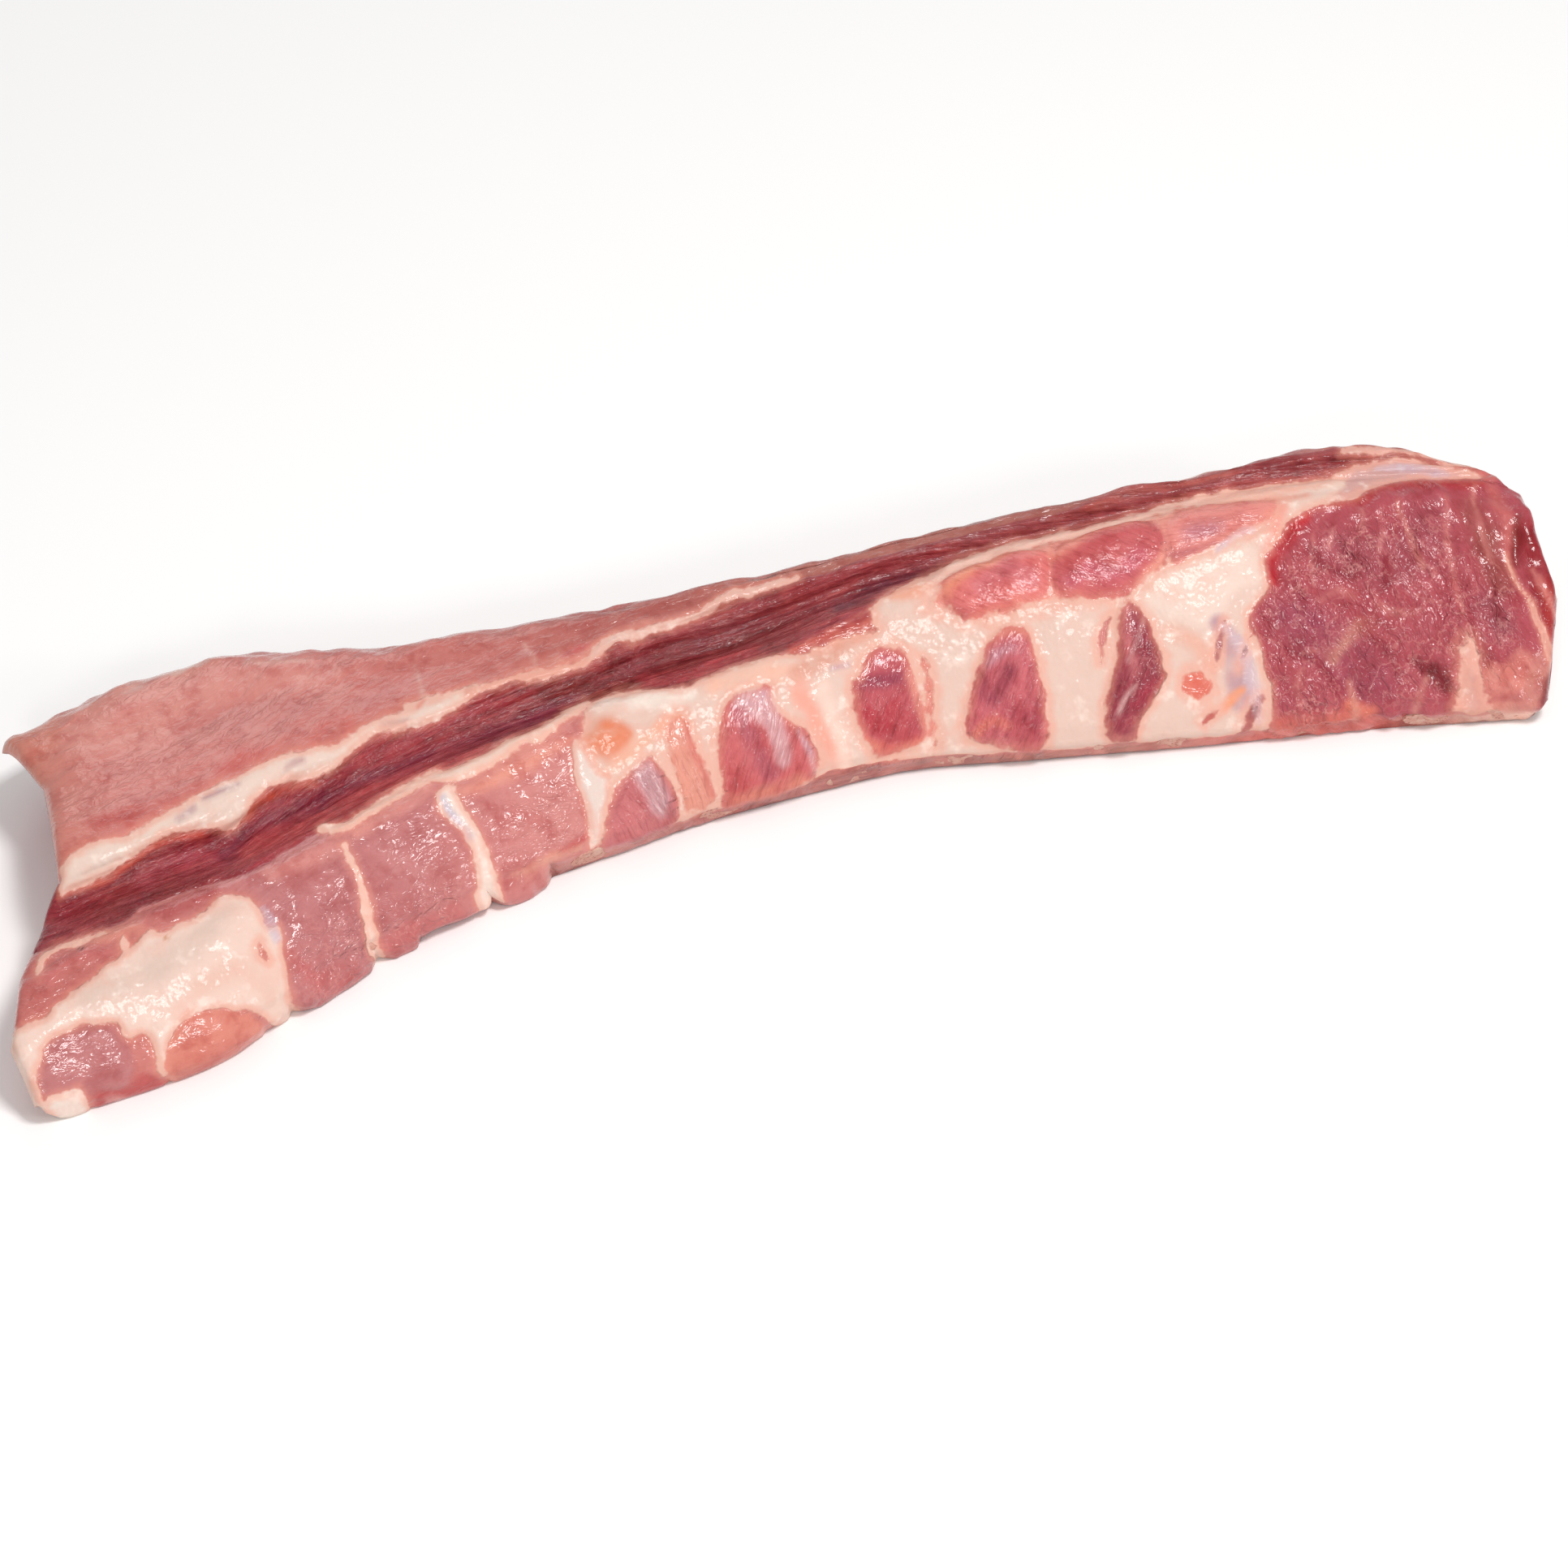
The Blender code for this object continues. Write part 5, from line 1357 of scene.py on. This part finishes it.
# %% Meat: surface
GRAIN_HEIGHT = 0.0012      # metres that the bump stands for where its height is 1
meat_height = add_node(tree, "ShaderNodeMix",
                       {0: drivers["fat_mask"], 2: drivers["lean_height"],
                        3: drivers["fat_height"]}, data_type="FLOAT").outputs[0]
bump = add_node(tree, "ShaderNodeBump", {"Height": meat_height, "Strength": 1.0,
                                         "Distance": GRAIN_HEIGHT}).outputs[0]
roughness = add_node(tree, "ShaderNodeMapRange", {"Value": drivers["fat_mask"], "To Min": 0.46,
                                                  "To Max": 0.56}).outputs[0]
lean_coat = add_node(tree, "ShaderNodeMapRange", {"Value": drivers["stringy"], "From Min": 0.3,
                                                  "To Min": 0.95, "To Max": 0.5}).outputs[0]
coat = add_node(tree, "ShaderNodeMapRange", {"Value": drivers["fat_mask"], "To Min": lean_coat,
                                             "To Max": 0.3}).outputs[0]
MEAT_SURFACE = {"Base Color": meat_colour, "Normal": bump, "Coat Normal": bump,
                "Roughness": roughness, "IOR": 1.4, "Specular IOR Level": 0.3,
                "Subsurface Weight": 0.1, "Subsurface Radius": (1.0, 0.35, 0.25),
                "Subsurface Scale": 0.0018, "Coat Weight": coat, "Coat Roughness": 0.1,
                "Coat IOR": 1.34}
fill_inputs(tree, shader, MEAT_SURFACE)
skin_mesh.materials.append(raw_meat)
print("material", raw_meat.name, "with", len(tree.nodes), "nodes")

# %% [markdown]
# ## Bone
#
# A fresh rib is pinkish cream under a thin membrane, and its sawn end shows a reddish sponge of
# marrow. Nearly all that shows is the sawn ends, so one material with small reddish pores and paler
# stains serves all twelve ribs.

# %% Bone
rib_bone, tree, shader = new_material("fresh_rib_bone")
texture_spot = add_node(tree, "ShaderNodeTexCoord").outputs["Object"]
in_mm = add_node(tree, "ShaderNodeVectorMath", {0: texture_spot, 3: 1 / MM},
                 operation="SCALE").outputs[0]
PORE_SIZE = 1.0            # spaces of the marrow sponge, in millimetres
STAIN_SIZE = 3.0
PORE_DEPTH = 0.0004        # metres
bone_drivers = {
    "pores": add_node(tree, "ShaderNodeTexVoronoi", {"Vector": in_mm, "Scale": 1 / PORE_SIZE})
    .outputs["Distance"],
    "stain": add_node(tree, "ShaderNodeTexNoise", {"Vector": in_mm, "Scale": 1 / STAIN_SIZE,
                                                   "Detail": 3.0}).outputs[0]}
BONE_TINTS = (
    ("MIX", "#9c524b", "pores", 0.5, 0.2, 0.7, None),
    ("MIX", "#d7b3a2", "stain", 0.45, 0.65, 0.6, None),
)
bone_colour = lay_tints(tree, (*tissue_colour("#d39a8a"), 1), BONE_TINTS, bone_drivers)
bump = add_node(tree, "ShaderNodeBump", {"Height": bone_drivers["pores"], "Strength": 0.5,
                                         "Distance": PORE_DEPTH}).outputs[0]
fill_inputs(tree, shader, {"Base Color": bone_colour, "Normal": bump, "Roughness": 0.5, "IOR": 1.5,
                           "Subsurface Weight": 0.08, "Subsurface Scale": 0.001})
for name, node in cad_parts.items():
    if name.startswith("rib_"):
        node.data.materials.clear()
        node.data.materials.append(rib_bone)
print("material", rib_bone.name, "on the ribs")

# %% [markdown]
# ## Studio
#
# The photograph has white surroundings and bright light from above and in front. A white world
# gives the even part and the lamp above gives the shape. Two small lamps in front make the wet
# grain glint, and a weak broad one lights the far side.

# %% Floor and light
FLOOR_HALF = 6.0           # metres from the middle of the floor to its edges
FLOOR_DROP = 0.0002        # a hair of room, so that floor and underside don't flicker
WORLD_LIGHT = 0.45
floor_mesh = bpy.data.meshes.new("floor")
floor_mesh.from_pydata([(x * FLOOR_HALF, y * FLOOR_HALF, 0)
                        for x, y in ((-1, -1), (1, -1), (1, 1), (-1, 1))], [], [(0, 1, 2, 3)])
floor = bpy.data.objects.new("floor", floor_mesh)
floor.location.z = -FLOOR_DROP
bpy.context.scene.collection.objects.link(floor)
white, tree, shader = new_material("white_paper")
fill_inputs(tree, shader, {"Base Color": (*linear("#fbfaf9"), 1), "Roughness": 0.9})
floor_mesh.materials.append(white)

world = bpy.data.worlds.new("studio")
world.use_nodes = True
fill_inputs(world.node_tree, world.node_tree.nodes["Background"],
            {"Color": (1, 1, 1, 1), "Strength": WORLD_LIGHT})
bpy.context.scene.world = world


LAMPS = (   # name, place, aim and size in metres, power in watts
    ("top_lamp", (0.3, -0.55, 1.5), (0, 0, 0), 0.36, 14.5),
    ("front_lamp", (-0.7, -1.4, 0.9), (0, 0, 0), 0.22, 5),
    ("right_lamp", (0.85, -1.25, 0.8), (0.15, 0, 0), 0.2, 3.2),
    ("back_lamp", (0.2, 1.5, 1.2), (0, 0, 0), 0.8, 4),
)
for name, spot, aim, size, power in LAMPS:
    lamp = bpy.data.lights.new(name, "AREA")
    lamp.size = size
    lamp.energy = power
    holder = bpy.data.objects.new(name, lamp)
    holder.location = spot
    holder.rotation_mode = "QUATERNION"
    holder.rotation_quaternion = (Vector(aim) - Vector(spot)).to_track_quat("-Z", "Y")
    bpy.context.scene.collection.objects.link(holder)
bpy.context.scene.view_settings.view_transform = "Standard"
print("studio lit")

# %% Size of the finished model
print("CAD box", [round(v, 4) for v in (*cad_low, *cad_high)])
